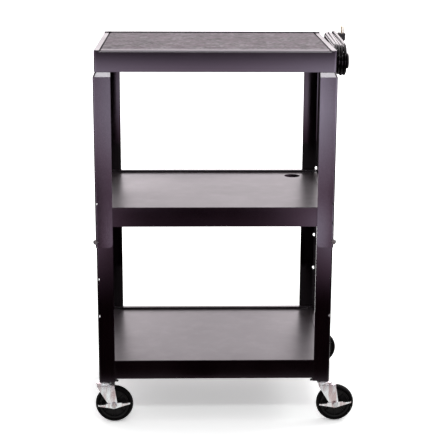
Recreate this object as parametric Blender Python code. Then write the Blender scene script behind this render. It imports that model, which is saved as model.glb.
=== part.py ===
"""Adjustable-height steel utility cart on four swivel casters, modelled in metres with +Z up.

The lower frame carries the bottom and middle shelves on four angle legs. The upper frame carries
the top shelf on four wider angle legs that slide outside the lower ones in steps of one hole.
A three-outlet power unit with its cord wound on two hooks hangs on the right side of the top shelf.
"""

import math

import bmesh
import bpy
import numpy
from mathutils import Matrix, Vector

# Driving sizes of the shelves
SHELF_WIDTH = 0.615
SHELF_DEPTH = 0.4572
SKIRT_HEIGHT = 0.0518
SHELF_SHEET = 0.0012
HEM_WIDTH = 0.012
HEM_GAP_AT_LEG = 0.004
RIM_WIDTH = 0.014
SIDE_RIM_RISE = 0.0032
BACK_RIM_RISE = 0.0060
SHELF_BEND = 0.0013
SKIRT_CORNER = 0.0060

# Heights above the floor at the stored, highest setting
BOTTOM_DECK = 0.1750
MIDDLE_DECK = 0.5958
TOP_DECK = 0.9992
BOLT_HEIGHT = 0.5037

# Adjustment holes: the lower legs' pitch, and the finer step that the upper legs' holes add
HOLE_PITCH = 0.1016
HOLE_STEP = 0.0508
LOWER_HOLES = 3
UPPER_HOLES = 3
HOLE_DIAMETER = 0.0095
# Metal left below the upper legs' lowest hole, down from its centre
HOLE_ABOVE_LEG_END = 0.0155

# Angle legs
LEG_SHEET = 0.0015
LEG_FLANGE = 0.045
LEG_BEND = 0.0050
LEG_END_RADIUS = 0.010
TAB_HEIGHT = 0.037
TAB_RADIUS = 0.012
JOGGLE_HEIGHT = 0.0120

# Running and seating clearance between touching pieces
CLEARANCE = 0.0003
# Overrun of every cutter past the face that it cuts
OVERRUN = 0.002
# Points closer than this count as one
SAME_PLACE = 0.0002

# Height bolts
BOLT_SHANK_DIAMETER = 0.0078
BOLT_HEAD_ACROSS = 0.0115
BOLT_HEAD_HEIGHT = 0.0052
BOLT_HEAD_EDGE = 0.0008

# Rubber mat of the top shelf
MAT_THICKNESS = 0.0032
MAT_MARGIN = 0.0022
MAT_FRONT_MARGIN = 0.0030
MAT_CORNER = 0.008

# Cable hole of the middle shelf
CABLE_HOLE_DIAMETER = 0.045
CABLE_HOLE_FROM_BACK = 0.0643
CABLE_HOLE_FROM_RIGHT = 0.0762

# Corner plates that the casters hang on
PLATE_THICKNESS = 0.0030
PLATE_LEG = 0.050
PLATE_CLIP = 0.006
# The legs run on below the bottom skirt, and the plates hang in them there
PLATE_DROP = 0.0048
STEM_INSET = 0.0095

# Casters
WHEEL_DIAMETER = 0.1016
TYRE_WIDTH = 0.024
TYRE_CROWN = 0.0022
TYRE_DEPTH = 0.0115
TYRE_SHOULDER = 0.0048
HUB_BOSS_DIAMETER = 0.026
HUB_WEB = 0.007
HUB_RIM = 0.0045
TRAIL = 0.0285
RACEWAY_DIAMETER = 0.042
RACEWAY_HEIGHT = 0.0084
# Turned outline of the raceway: shares of its radius and of its height above its lower face
RACEWAY_OUTLINE_SHARES = ((0.93, 0.0), (1.0, 0.26), (1.0, 0.50), (0.87, 0.80), (0.60, 1.0))
CROWN_THICKNESS = 0.0026
FORK_SHEET = 0.0022
FORK_SIDE_GAP = 0.0020
FORK_BEND = 0.0032
CROWN_BEHIND = 0.0175
CROWN_AHEAD = 0.0298
CREASE_OFFSET = 0.0120
CREASE_TAPER = 0.0028
FORK_BOSS_RADIUS = 0.0108
FORK_BOSS_BEHIND = 0.0016
KINGPIN_DIAMETER = 0.008
KINGPIN_HEAD_DIAMETER = 0.018
KINGPIN_HEAD_HEIGHT = 0.0040
PIN_CLEARANCE = 0.0003
STEM_NUT_ACROSS = 0.013
STEM_NUT_HEIGHT = 0.0065
STEM_TAIL = 0.0030
AXLE_DIAMETER = 0.008
AXLE_HEAD_ACROSS = 0.013
AXLE_HEAD_HEIGHT = 0.0050
AXLE_TAIL = 0.0020

# Brake levers of the two front casters
LEVER_LENGTH = 0.086
LEVER_SHEET = 0.0020
LEVER_RISE = 0.0060
LEVER_ARM = 0.0055
LEVER_BOSS_RADIUS = 0.0095
LEVER_ROOT = 0.0110
LEVER_PEDAL = 0.0070
LEVER_TILT = math.radians(4.5)

# Power unit on the right side of the top shelf
HOUSING_LENGTH = 0.198
HOUSING_HEIGHT = 0.045
HOUSING_DEPTH = 0.0212
HOUSING_CENTRE_Y = -0.001
HOUSING_DROP = 0.0346
HOUSING_EDGE = 0.004
OUTLETS = 3
OUTLET_PITCH = 0.060
OUTLET_WIDTH = 0.036
OUTLET_HEIGHT = 0.030
OUTLET_CORNER = 0.008
OUTLET_DEPTH = 0.006
OUTLET_PROUD = 0.0006
SLOT_SPACING = 0.0127
SLOT_WIDTH = 0.0024
SLOT_HEIGHT = 0.0080
SLOT_DEPTH = 0.0040
SLOT_RISE = 0.0035
GROUND_DIAMETER = 0.0052
GROUND_DROP = 0.0080
HOOK_POST_WIDTH = 0.012
HOOK_POST_HEIGHT = 0.036
HOOK_FLANGE_REACH = 0.064
HOOK_FLANGE_HEIGHT = 0.038
HOOK_FLANGE_SHEET = 0.0030
SCREW_DIAMETER = 0.004
SCREW_HEAD_DIAMETER = 0.008
SCREW_HEAD_HEIGHT = 0.0024
SCREW_LENGTH = 0.012
SCREW_SPREAD_SHARE = 0.84
SCREW_CROWN_SHARE = 0.6
RELIEF_LENGTH = 0.014
RELIEF_ROOT_DIAMETER = 0.0125
RELIEF_TIP_DIAMETER = 0.0098
RELIEF_FLANGE = 0.0025

# Power cord: real length about 4.57 m, wound in loops between the hooks
CORD_DIAMETER = 0.0072
CORD_PITCH = 0.0083
CORD_LAYERS = 4
LOOPS_PER_LAYER = 1.652
POINTS_PER_LOOP = 24
RUN_STEPS = 3
LOOP_INNER_RADIUS = 0.0285
LOOP_REAR_Y = 0.116
LOOP_FRONT_Y = -0.098
LAYER_OUT_FROM_LEG = 0.0045
HANK_RISE_REAR = 0.0100
# Turns over which the cord crosses to the next layer
LAYER_CHANGE_TURNS = 0.5
# Route of the cord's last stretch: shares of its way across, along and up to the plug
TAIL_ROUTE_SHARES = (
    (0, 0, 0), (0, 0.12, 0), (0.35, 0.36, 0), (0.90, 0.66, 0.02),
    (1, 0.93, 0.24), (1, 1, 0.62), (1, 1, 1),
)

# Plug
PLUG_WIDTH = 0.026
PLUG_THICKNESS = 0.022
PLUG_HEIGHT = 0.028
PLUG_NECK_DIAMETER = 0.0120
PLUG_Y = 0.100
PLUG_OVER_HOOK = 0.0030
PLUG_NECK_HEIGHT = 0.0060
PLUG_EDGE = 0.0015
PLUG_CORNER_SHARE = 0.55
PLUG_ROUND_SHARE = 0.98
PLUG_SHOULDER_SHARE = 0.38
BLADE_SPACING = 0.0127
BLADE_WIDTH = 0.0063
BLADE_SHEET = 0.0015
BLADE_LENGTH = 0.0175
BLADE_ROOT = 0.004
GROUND_PIN_DIAMETER = 0.0048
GROUND_PIN_LENGTH = 0.0200
GROUND_PIN_OFFSET = 0.0070

# Facets
ROUND = 24
HEX_ROUND = 12
SMALL_ROUND = 12
BEND_STEPS = 4
# Profile of a round bevel, and the greatest share of slope in a level or upright face
ROUND_PROFILE = 0.5
SLOPE_SHARE = 0.1

# Places worked out from the sizes above
HALF_WIDTH = SHELF_WIDTH / 2
HALF_DEPTH = SHELF_DEPTH / 2
LOWER_LEG_OUT = CLEARANCE + LEG_SHEET
UPPER_LEG_OUT = LOWER_LEG_OUT + CLEARANCE + LEG_SHEET
UPPER_LEG_BOTTOM = BOLT_HEIGHT - HOLE_ABOVE_LEG_END
BOTTOM_SKIRT_EDGE = BOTTOM_DECK - SKIRT_HEIGHT
PLATE_TOP = BOTTOM_SKIRT_EDGE - PLATE_DROP
PLATE_BOTTOM = PLATE_TOP - PLATE_THICKNESS
RACEWAY_TOP = PLATE_BOTTOM - CLEARANCE
RACEWAY_BOTTOM = RACEWAY_TOP - RACEWAY_HEIGHT
CROWN_TOP = RACEWAY_BOTTOM - CLEARANCE
CROWN_BOTTOM = CROWN_TOP - CROWN_THICKNESS
WHEEL_RADIUS = WHEEL_DIAMETER / 2
STEM_X = HALF_WIDTH - STEM_INSET
STEM_Y = HALF_DEPTH - STEM_INSET
FORK_INSIDE = TYRE_WIDTH / 2 + FORK_SIDE_GAP
FORK_OUTSIDE = FORK_INSIDE + FORK_SHEET
LEFT_REACH = STEM_X + RACEWAY_DIAMETER / 2
RIGHT_REACH = STEM_X + TRAIL + WHEEL_RADIUS
CART_SHIFT = (LEFT_REACH - RIGHT_REACH) / 2
HOUSING_Z = TOP_DECK - HOUSING_DROP
HOUSING_BACK = HALF_WIDTH + CLEARANCE
HOUSING_FACE = HOUSING_BACK + HOUSING_DEPTH
LAYER_ONE_X = HALF_WIDTH + UPPER_LEG_OUT + LAYER_OUT_FROM_LEG
LAST_LAYER_X = LAYER_ONE_X + (CORD_LAYERS - 1) * CORD_PITCH
CORD_RADIUS = CORD_DIAMETER / 2
CORNER_NOTCH = LEG_FLANGE - UPPER_LEG_OUT + HEM_GAP_AT_LEG
HOOK_FLANGE_X = LAST_LAYER_X + CORD_RADIUS + 2 * CLEARANCE
RELIEF_FOOT_Y = HOUSING_CENTRE_Y + HOUSING_LENGTH / 2 + CLEARANCE
PLUG_X = LAST_LAYER_X + CORD_RADIUS + 2 * CLEARANCE + PLUG_THICKNESS / 2
PLUG_BASE = HOUSING_Z + HOOK_FLANGE_HEIGHT / 2 + PLUG_OVER_HOOK
CORNERS = (("front_left", -1, -1), ("front_right", 1, -1), ("rear_left", -1, 1), ("rear_right", 1, 1))


def clear_scene():
    for item in list(bpy.data.objects):
        bpy.data.objects.remove(item, do_unlink=True)


def surface(name, colour, roughness, metallic):
    made = bpy.data.materials.new(name)
    made.use_nodes = True
    shader = made.node_tree.nodes["Principled BSDF"]
    shader.inputs["Base Color"].default_value = (*colour, 1.0)
    shader.inputs["Roughness"].default_value = roughness
    shader.inputs["Metallic"].default_value = metallic
    return made


def to_object(name, mesh_data, finish, parent, smooth=True):
    """Turn a bmesh into a named object with its faces pointing out."""
    bmesh.ops.recalc_face_normals(mesh_data, faces=mesh_data.faces)
    mesh = bpy.data.meshes.new(name)
    mesh_data.to_mesh(mesh)
    mesh_data.free()
    if smooth:
        mesh.shade_smooth()
        mesh.set_sharp_from_angle(angle=math.radians(35))
    if finish:
        mesh.materials.append(finish)
    item = bpy.data.objects.new(name, mesh)
    bpy.context.collection.objects.link(item)
    item.parent = parent
    return item


def cutter(name, mesh_data, parent):
    item = to_object(name, mesh_data, None, parent, smooth=False)
    item.hide_render = True
    item.display_type = "WIRE"
    return item


def boolean(item, other, operation="DIFFERENCE"):
    step = item.modifiers.new(operation.title(), "BOOLEAN")
    step.operation = operation
    step.solver = "EXACT"
    step.object = other


def loft(mesh_data, rings):
    """Join equal rings of points with quads and close both ends."""
    rows = [[mesh_data.verts.new(point) for point in ring] for ring in rings]
    count = len(rows[0])
    for lower, upper in zip(rows, rows[1:]):
        for i in range(count):
            j = (i + 1) % count
            mesh_data.faces.new((lower[i], lower[j], upper[j], upper[i]))
    mesh_data.faces.new(list(reversed(rows[0])))
    mesh_data.faces.new(rows[-1])


def lathe(mesh_data, profile, segments, place=None, closed=False, start=0):
    """Turn a profile of (radius, height) about Z. An open profile starts and ends on the axis."""
    columns = []
    for radius, height in profile:
        if radius == 0:
            columns.append([mesh_data.verts.new((0, 0, height))])
            continue
        turn = [2 * math.pi * (i + start) / segments for i in range(segments)]
        ring = [(radius * math.cos(a), radius * math.sin(a), height) for a in turn]
        columns.append([mesh_data.verts.new(point) for point in ring])
    pairs = list(zip(columns, columns[1:]))
    if closed:
        pairs.append((columns[-1], columns[0]))
    for lower, upper in pairs:
        for i in range(segments):
            j = (i + 1) % segments
            if len(lower) == 1:
                mesh_data.faces.new((lower[0], upper[j], upper[i]))
            elif len(upper) == 1:
                mesh_data.faces.new((lower[i], lower[j], upper[0]))
            else:
                mesh_data.faces.new((lower[i], lower[j], upper[j], upper[i]))
    if place:
        made = {vertex for column in columns for vertex in column}
        bmesh.ops.transform(mesh_data, matrix=place, verts=list(made))


def cylinder(mesh_data, radius, low, high, segments, place=None):
    lathe(mesh_data, [(0, low), (radius, low), (radius, high), (0, high)], segments, place)


def along_y(x, y, z):
    """A frame at a point whose local Z runs along the cart's +Y."""
    return Matrix.Translation((x, y, z)) @ Matrix.Rotation(-math.pi / 2, 4, "X")


def along_x(x, y, z):
    """A frame at a point whose local Z runs along the cart's +X."""
    return Matrix.Translation((x, y, z)) @ Matrix.Rotation(math.pi / 2, 4, "Y")


def corner_way(x, y, z, sx, sy):
    """A frame at a point whose local Z runs level, out of the leg's corner at 45 degrees."""
    turn = math.atan2(sy, sx)
    tilt = Matrix.Rotation(turn, 4, "Z") @ Matrix.Rotation(math.pi / 2, 4, "Y")
    return Matrix.Translation((x, y, z)) @ tilt


def rounded_rectangle(half_u, half_v, radius, steps):
    """Corner points of a rectangle with round corners, counter-clockwise about its centre."""
    points = []
    for su, sv, start in ((1, 1, 0), (-1, 1, 90), (-1, -1, 180), (1, -1, 270)):
        for i in range(steps + 1):
            angle = math.radians(start + 90 * i / steps)
            u = su * (half_u - radius) + radius * math.cos(angle)
            v = sv * (half_v - radius) + radius * math.sin(angle)
            points.append((u, v))
    return points


def arc(centre_u, centre_v, radius, start, end, steps):
    """Points of an arc from one angle to another, in degrees."""
    turn = [math.radians(start + (end - start) * i / steps) for i in range(steps + 1)]
    return [(centre_u + radius * math.cos(a), centre_v + radius * math.sin(a)) for a in turn]


def stepped_block(x_breaks, y_breaks, tops, base):
    """A block whose cells between the breaks rise to their own heights; None leaves a cell out."""
    mesh_data = bmesh.new()
    corners = {}
    levels = {}

    def top_of(i, j):
        inside = 0 <= i < len(x_breaks) - 1 and 0 <= j < len(y_breaks) - 1
        return tops[j][i] if inside else None

    def vertex(i, j, z):
        key = (i, j, z)
        if key not in corners:
            corners[key] = mesh_data.verts.new((x_breaks[i], y_breaks[j], z))
        return corners[key]

    for i in range(len(x_breaks)):
        for j in range(len(y_breaks)):
            around = [top_of(i - a, j - b) for a in (0, 1) for b in (0, 1)]
            levels[i, j] = sorted({z for z in around if z is not None} | {base})

    def wall(start, end, low, high):
        up = [vertex(*end, z) for z in levels[end] if low <= z <= high]
        down = [vertex(*start, z) for z in reversed(levels[start]) if low <= z <= high]
        mesh_data.faces.new(up + down)

    for j in range(len(y_breaks) - 1):
        for i in range(len(x_breaks) - 1):
            top = top_of(i, j)
            if top is None:
                continue
            ring = ((i, j), (i + 1, j), (i + 1, j + 1), (i, j + 1))
            mesh_data.faces.new([vertex(*key, top) for key in ring])
            mesh_data.faces.new([vertex(*key, base) for key in reversed(ring)])
            beside = (top_of(i, j - 1), top_of(i + 1, j), top_of(i, j + 1), top_of(i - 1, j))
            for side, other in enumerate(beside):
                floor = base if other is None else other
                if floor < top:
                    wall(ring[side], ring[(side + 1) % 4], floor, top)
    return mesh_data


def upright_edges(mesh_data, half_x, half_y):
    """The four outer upright corner edges of a block."""
    def at_corner(vertex):
        x, y = abs(vertex.co.x), abs(vertex.co.y)
        return abs(x - half_x) < SAME_PLACE and abs(y - half_y) < SAME_PLACE

    def upright(edge):
        first, last = (vertex.co for vertex in edge.verts)
        return abs(first.x - last.x) < SAME_PLACE and abs(first.y - last.y) < SAME_PLACE

    return [e for e in mesh_data.edges if upright(e) and all(at_corner(v) for v in e.verts)]


def ease(mesh_data, edges, radius, steps):
    """Round edges of a block to a radius."""
    bmesh.ops.bevel(
        mesh_data, geom=edges, offset=radius, offset_type="OFFSET", segments=steps,
        affect="EDGES", profile=ROUND_PROFILE, clamp_overlap=True,
    )


def top_bend_edges(mesh_data, half_x, half_y):
    """Edges where the outer walls meet a level top face."""
    found = []
    for edge in mesh_data.edges:
        if len(edge.link_faces) != 2:
            continue
        flat = [face for face in edge.link_faces if face.normal.z > 1 - SLOPE_SHARE]
        side = [face for face in edge.link_faces if abs(face.normal.z) < SLOPE_SHARE]
        if len(flat) != 1 or len(side) != 1:
            continue
        middle = (edge.verts[0].co + edge.verts[1].co) / 2
        if side[0].normal.x * middle.x + side[0].normal.y * middle.y > 0 and (
            abs(middle.x) > half_x - SKIRT_CORNER or abs(middle.y) > half_y - SKIRT_CORNER
        ):
            found.append(edge)
    return found


def pan_block(deck, base, inset):
    """The shelf's pressed form, drawn in by an inset on every face: deck, side rims and back rim."""
    x_outer = HALF_WIDTH - inset
    x_rim = HALF_WIDTH - RIM_WIDTH + inset
    y_back = HALF_DEPTH - inset
    y_rim = HALF_DEPTH - RIM_WIDTH + inset
    side = deck + SIDE_RIM_RISE - inset
    back = deck + BACK_RIM_RISE - inset
    tops = [[side, deck - inset, side], [back, back, back]]
    breaks = [-x_outer, -x_rim, x_rim, x_outer]
    block = stepped_block(breaks, [-y_back, y_rim, y_back], tops, base)
    bmesh.ops.recalc_face_normals(block, faces=block.faces)
    return block, x_outer, y_back


def shelf_pan(name, deck, finish, parent):
    """A folded sheet shelf: rims on three sides, skirts all round and a hem turned in below."""
    base = deck - SKIRT_HEIGHT
    block, half_x, half_y = pan_block(deck, base, 0)
    ease(block, upright_edges(block, half_x, half_y), SKIRT_CORNER, BEND_STEPS)
    bmesh.ops.recalc_face_normals(block, faces=block.faces)
    ease(block, top_bend_edges(block, half_x, half_y), SHELF_BEND, BEND_STEPS // 2)
    shelf = to_object(name, block, finish, parent)

    inside, half_x, half_y = pan_block(deck, base + SHELF_SHEET, SHELF_SHEET)
    ease(inside, upright_edges(inside, half_x, half_y), SKIRT_CORNER - SHELF_SHEET, BEND_STEPS)
    boolean(shelf, cutter(name + "_inside", inside, parent))

    x_hem, y_hem = half_x + SHELF_SHEET - HEM_WIDTH, half_y + SHELF_SHEET - HEM_WIDTH
    x_notch, y_notch = half_x - CORNER_NOTCH, half_y - CORNER_NOTCH
    top = base + 2 * SHELF_SHEET
    x_breaks = [-half_x, -x_hem, -x_notch, x_notch, x_hem, half_x]
    y_breaks = [-half_y, -y_hem, -y_notch, y_notch, y_hem, half_y]
    edge_row = [top, top, None, top, top]
    open_row = [top] * 5
    waist_row = [None, top, top, top, None]
    rows = [edge_row, open_row, waist_row, open_row, edge_row]
    mouth = stepped_block(x_breaks, y_breaks, rows, base - OVERRUN)
    ease(mouth, upright_edges(mouth, half_x, half_y), SKIRT_CORNER - SHELF_SHEET, BEND_STEPS)
    boolean(shelf, cutter(name + "_mouth", mouth, parent))
    return shelf


def leg_ring(out, edge_x, edge_y, z, sx, sy):
    """One level section of an angle leg whose outer faces stand a distance out of the skirts."""
    outer_x, outer_y = HALF_WIDTH + out, HALF_DEPTH + out
    centre_x, centre_y = outer_x - LEG_BEND, outer_y - LEG_BEND
    ring = [(edge_x, outer_y)]
    ring += arc(centre_x, centre_y, LEG_BEND, 90, 0, BEND_STEPS)
    ring += [(outer_x, edge_y), (outer_x - LEG_SHEET, edge_y)]
    ring += arc(centre_x, centre_y, LEG_BEND - LEG_SHEET, 0, 90, BEND_STEPS)
    ring += [(edge_x, outer_y - LEG_SHEET)]
    return [(sx * x, sy * y, z) for x, y in ring]


def rounded_end(z, radius, upward):
    """Heights and draw-in of a flange whose free corner is rounded at its end."""
    steps = [math.radians(90 * i / 3) for i in range(4)]
    return [(z + upward * radius * (1 - math.cos(a)), radius * (1 - math.sin(a))) for a in steps]


def angle_leg(name, stations, holes, hole_out, sx, sy, finish, parent):
    """An angle leg lofted through stations of (height, outward offset, flange draw-in)."""
    free_x = HALF_WIDTH + UPPER_LEG_OUT - LEG_FLANGE
    free_y = HALF_DEPTH + UPPER_LEG_OUT - LEG_FLANGE
    leg = bmesh.new()
    loft(leg, [leg_ring(out, free_x + draw, free_y + draw, z, sx, sy) for z, out, draw in stations])
    made = to_object(name, leg, finish, parent)
    drill = bmesh.new()
    reach = LEG_BEND + OVERRUN
    for z in holes:
        place = corner_way(sx * (HALF_WIDTH + hole_out), sy * (HALF_DEPTH + hole_out), z, sx, sy)
        cylinder(drill, HOLE_DIAMETER / 2, -reach, reach, SMALL_ROUND, place)
    boolean(made, cutter(name + "_holes", drill, parent))
    return made


def lower_leg(name, sx, sy, finish, parent):
    stations = [(PLATE_BOTTOM, LOWER_LEG_OUT, 0)]
    end = rounded_end(MIDDLE_DECK, LEG_END_RADIUS, -1)
    stations += [(z, LOWER_LEG_OUT, draw) for z, draw in reversed(end)]
    holes = [BOLT_HEIGHT - i * HOLE_PITCH for i in range(LOWER_HOLES)]
    return angle_leg(name, stations, holes, LOWER_LEG_OUT, sx, sy, finish, parent)


def upper_leg(name, sx, sy, finish, parent):
    skirt_edge = TOP_DECK - SKIRT_HEIGHT
    tab_out = -SHELF_SHEET - CLEARANCE
    end = rounded_end(UPPER_LEG_BOTTOM, LEG_END_RADIUS, 1)
    stations = [(z, UPPER_LEG_OUT, draw) for z, draw in end]
    stations.append((skirt_edge - JOGGLE_HEIGHT - CLEARANCE, UPPER_LEG_OUT, 0))
    stations.append((skirt_edge - CLEARANCE, tab_out, 0))
    end = rounded_end(skirt_edge + TAB_HEIGHT, TAB_RADIUS, -1)
    stations += [(z, tab_out, draw) for z, draw in reversed(end)]
    holes = [BOLT_HEIGHT + i * HOLE_STEP for i in range(UPPER_HOLES)]
    return angle_leg(name, stations, holes, UPPER_LEG_OUT, sx, sy, finish, parent)


def top_mat(finish, parent):
    half_x = HALF_WIDTH - RIM_WIDTH - MAT_MARGIN
    front = -HALF_DEPTH + MAT_FRONT_MARGIN
    back = HALF_DEPTH - RIM_WIDTH - MAT_MARGIN
    outline = rounded_rectangle(half_x, (back - front) / 2, MAT_CORNER, BEND_STEPS)
    low = TOP_DECK + CLEARANCE
    mat = bmesh.new()
    levels = (low, low + MAT_THICKNESS)
    loft(mat, [[(u, v + (front + back) / 2, z) for u, v in outline] for z in levels])
    return to_object("top_mat", mat, finish, parent)


def cut_cable_hole(shelf, parent):
    hole = bmesh.new()
    x, y = HALF_WIDTH - CABLE_HOLE_FROM_RIGHT, HALF_DEPTH - CABLE_HOLE_FROM_BACK
    place = Matrix.Translation((x, y, MIDDLE_DECK))
    cylinder(hole, CABLE_HOLE_DIAMETER / 2, -SHELF_SHEET - OVERRUN, OVERRUN, ROUND, place)
    boolean(shelf, cutter("cable_hole_cut", hole, parent))


def screw_places():
    spread = SCREW_SPREAD_SHARE * HOUSING_LENGTH / 2
    return [HOUSING_CENTRE_Y - spread, HOUSING_CENTRE_Y + spread]


def screw_bores(name, parent):
    """Bores for the housing screws, from inside the skirt to the screws' tips."""
    bores = bmesh.new()
    for y in screw_places():
        place = along_x(HALF_WIDTH - SHELF_SHEET, y, HOUSING_Z)
        radius = SCREW_DIAMETER / 2 + CLEARANCE
        cylinder(bores, radius, -OVERRUN, SCREW_LENGTH + CLEARANCE, HEX_ROUND, place)
    return cutter(name, bores, parent)


def circle_ring(radius, z, place):
    turn = [2 * math.pi * i / HEX_ROUND for i in range(HEX_ROUND)]
    return [place @ Vector((radius * math.cos(a), radius * math.sin(a), z)) for a in turn]


def hexagon_ring(across, z, place):
    """A ring of points on a hexagon, at its corners and at the middle of each side."""
    ring = []
    for i in range(HEX_ROUND):
        angle = 2 * math.pi * i / HEX_ROUND
        radius = across / 2 / math.cos(angle % (math.pi / 3) - math.pi / 6)
        ring.append(place @ Vector((radius * math.cos(angle), radius * math.sin(angle), z)))
    return ring


def hexagon_head(across, seat, height, place):
    """Rings of a hexagon head from its seat outward, its last edge eased."""
    upward = math.copysign(1, height)
    return [
        hexagon_ring(across, seat, place),
        hexagon_ring(across, seat + height - upward * BOLT_HEAD_EDGE, place),
        circle_ring(across / 2, seat + height, place),
    ]


def height_bolt(name, sx, sy, finish, parent):
    """A bolt through an upper leg's corner; its tip stops just short of the lower leg."""
    bolt = bmesh.new()
    apex = UPPER_LEG_OUT - LEG_BEND * (1 - math.cos(math.pi / 4))
    tip = CLEARANCE - (UPPER_LEG_OUT - LOWER_LEG_OUT) * math.sqrt(2)
    place = corner_way(sx * (HALF_WIDTH + apex), sy * (HALF_DEPTH + apex), BOLT_HEIGHT, sx, sy)
    radius = BOLT_SHANK_DIAMETER / 2
    rings = [circle_ring(radius, tip, place), circle_ring(radius, CLEARANCE, place)]
    loft(bolt, rings + hexagon_head(BOLT_HEAD_ACROSS, CLEARANCE, BOLT_HEAD_HEIGHT, place))
    return to_object(name, bolt, finish, parent)


def corner_plate(name, sx, sy, finish, parent):
    """A five-sided plate inside a leg's angle, with the caster's hole near its corner."""
    bend = LEG_BEND - LEG_SHEET - CLEARANCE
    outline = [(HALF_WIDTH - PLATE_CLIP, HALF_DEPTH - PLATE_LEG), (HALF_WIDTH, HALF_DEPTH - PLATE_LEG)]
    outline += arc(HALF_WIDTH - bend, HALF_DEPTH - bend, bend, 0, 90, BEND_STEPS)
    outline += [(HALF_WIDTH - PLATE_LEG, HALF_DEPTH), (HALF_WIDTH - PLATE_LEG, HALF_DEPTH - PLATE_CLIP)]
    plate = bmesh.new()
    loft(plate, [[(sx * x, sy * y, z) for x, y in outline] for z in (PLATE_BOTTOM, PLATE_TOP)])
    made = to_object(name, plate, finish, parent)
    hole = bmesh.new()
    place = Matrix.Translation((sx * STEM_X, sy * STEM_Y, PLATE_BOTTOM))
    radius = KINGPIN_DIAMETER / 2 + PIN_CLEARANCE
    cylinder(hole, radius, -OVERRUN, PLATE_THICKNESS + OVERRUN, SMALL_ROUND, place)
    boolean(made, cutter(name + "_hole", hole, parent))
    return made


def raceway(name, sx, sy, finish, parent):
    """The pressed double ball race between a corner plate and a fork, bored for its kingpin."""
    bore = KINGPIN_DIAMETER / 2 + PIN_CLEARANCE
    profile = [(bore, RACEWAY_BOTTOM)]
    for radius_share, height_share in RACEWAY_OUTLINE_SHARES:
        height = RACEWAY_BOTTOM + height_share * RACEWAY_HEIGHT
        profile.append((radius_share * RACEWAY_DIAMETER / 2, height))
    profile.append((bore, RACEWAY_TOP))
    race = bmesh.new()
    place = Matrix.Translation((sx * STEM_X, sy * STEM_Y, 0))
    lathe(race, profile, ROUND, place, closed=True)
    return to_object(name, race, finish, parent)


def kingpin(name, sx, sy, finish, parent):
    """A headed pin from under the fork, through race and plate, with its nut drawn up on it."""
    place = Matrix.Translation((sx * STEM_X, sy * STEM_Y, 0))
    seat = CROWN_BOTTOM - CLEARANCE
    nut_seat = PLATE_TOP + CLEARANCE
    shank, head = KINGPIN_DIAMETER / 2, KINGPIN_HEAD_DIAMETER / 2
    tail = nut_seat + STEM_NUT_HEIGHT
    rings = [
        circle_ring(head / 2, seat - KINGPIN_HEAD_HEIGHT, place),
        circle_ring(head, seat - KINGPIN_HEAD_HEIGHT / 2, place),
        circle_ring(head, seat, place),
        circle_ring(shank, seat, place),
        circle_ring(shank, nut_seat, place),
        *hexagon_head(STEM_NUT_ACROSS, nut_seat, STEM_NUT_HEIGHT, place),
        circle_ring(shank, tail, place),
        circle_ring(shank, tail + STEM_TAIL, place),
    ]
    pin = bmesh.new()
    loft(pin, rings)
    return to_object(name, pin, finish, parent)


def channel_ring(x, half_width):
    """A fork's section at one distance from the stem: crown and two side walls of bent sheet."""
    inner = half_width - FORK_SHEET
    under = CROWN_TOP - CROWN_THICKNESS
    low = WHEEL_RADIUS - FORK_BOSS_RADIUS - OVERRUN
    ring = [(half_width, low)]
    centre_y, centre_z = half_width - FORK_BEND, CROWN_TOP - FORK_BEND
    ring += arc(centre_y, centre_z, FORK_BEND, 0, 90, BEND_STEPS - 1)
    ring += arc(-centre_y, centre_z, FORK_BEND, 90, 180, BEND_STEPS - 1)
    ring += [(-half_width, low), (-inner, low), (-inner, under), (inner, under), (inner, low)]
    return [(x, y, z) for y, z in ring]


def tangent_angle(x, z, centre_x, centre_z, radius, side):
    """Angle on a circle where a straight line from an outside point touches it, in degrees."""
    away = math.hypot(x - centre_x, z - centre_z)
    towards = math.atan2(z - centre_z, x - centre_x)
    return math.degrees(towards + side * math.acos(radius / away))


def caster_fork(name, finish, parent):
    """A folded fork: crown on top, side walls drawn in ahead of a crease and down to a boss."""
    fork = bmesh.new()
    narrow = FORK_OUTSIDE - CREASE_TAPER
    front, rear = -CROWN_BEHIND - OVERRUN, CROWN_AHEAD + FORK_BOSS_RADIUS + OVERRUN
    loft(fork, [
        channel_ring(front, narrow), channel_ring(-CROWN_BEHIND, narrow),
        channel_ring(CREASE_OFFSET, FORK_OUTSIDE), channel_ring(rear, FORK_OUTSIDE),
    ])
    made = to_object(name, fork, finish, parent)

    shoulder = CROWN_BOTTOM - FORK_SHEET
    boss = (TRAIL - FORK_BOSS_BEHIND, WHEEL_RADIUS, FORK_BOSS_RADIUS)
    start = tangent_angle(-CROWN_BEHIND, shoulder, *boss, 1)
    end = tangent_angle(CROWN_AHEAD, shoulder, *boss, -1)
    outline = [(CROWN_AHEAD, CROWN_TOP + OVERRUN), (-CROWN_BEHIND, CROWN_TOP + OVERRUN)]
    outline += [(-CROWN_BEHIND, shoulder)]
    outline += arc(*boss, start, end + 360, SMALL_ROUND // 2)
    outline += [(CROWN_AHEAD, shoulder)]
    side = bmesh.new()
    reach = FORK_OUTSIDE + OVERRUN
    loft(side, [[(x, y, z) for x, z in outline] for y in (-reach, reach)])
    boolean(made, cutter(name + "_outline", side, parent), "INTERSECT")

    holes = bmesh.new()
    place = Matrix.Translation((0, 0, CROWN_BOTTOM))
    radius = KINGPIN_DIAMETER / 2 + PIN_CLEARANCE
    cylinder(holes, radius, -OVERRUN, CROWN_THICKNESS + OVERRUN, SMALL_ROUND, place)
    place = along_y(TRAIL, 0, WHEEL_RADIUS)
    cylinder(holes, AXLE_DIAMETER / 2 + PIN_CLEARANCE, -reach, reach, SMALL_ROUND, place)
    boolean(made, cutter(name + "_holes", holes, parent))
    return made


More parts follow.
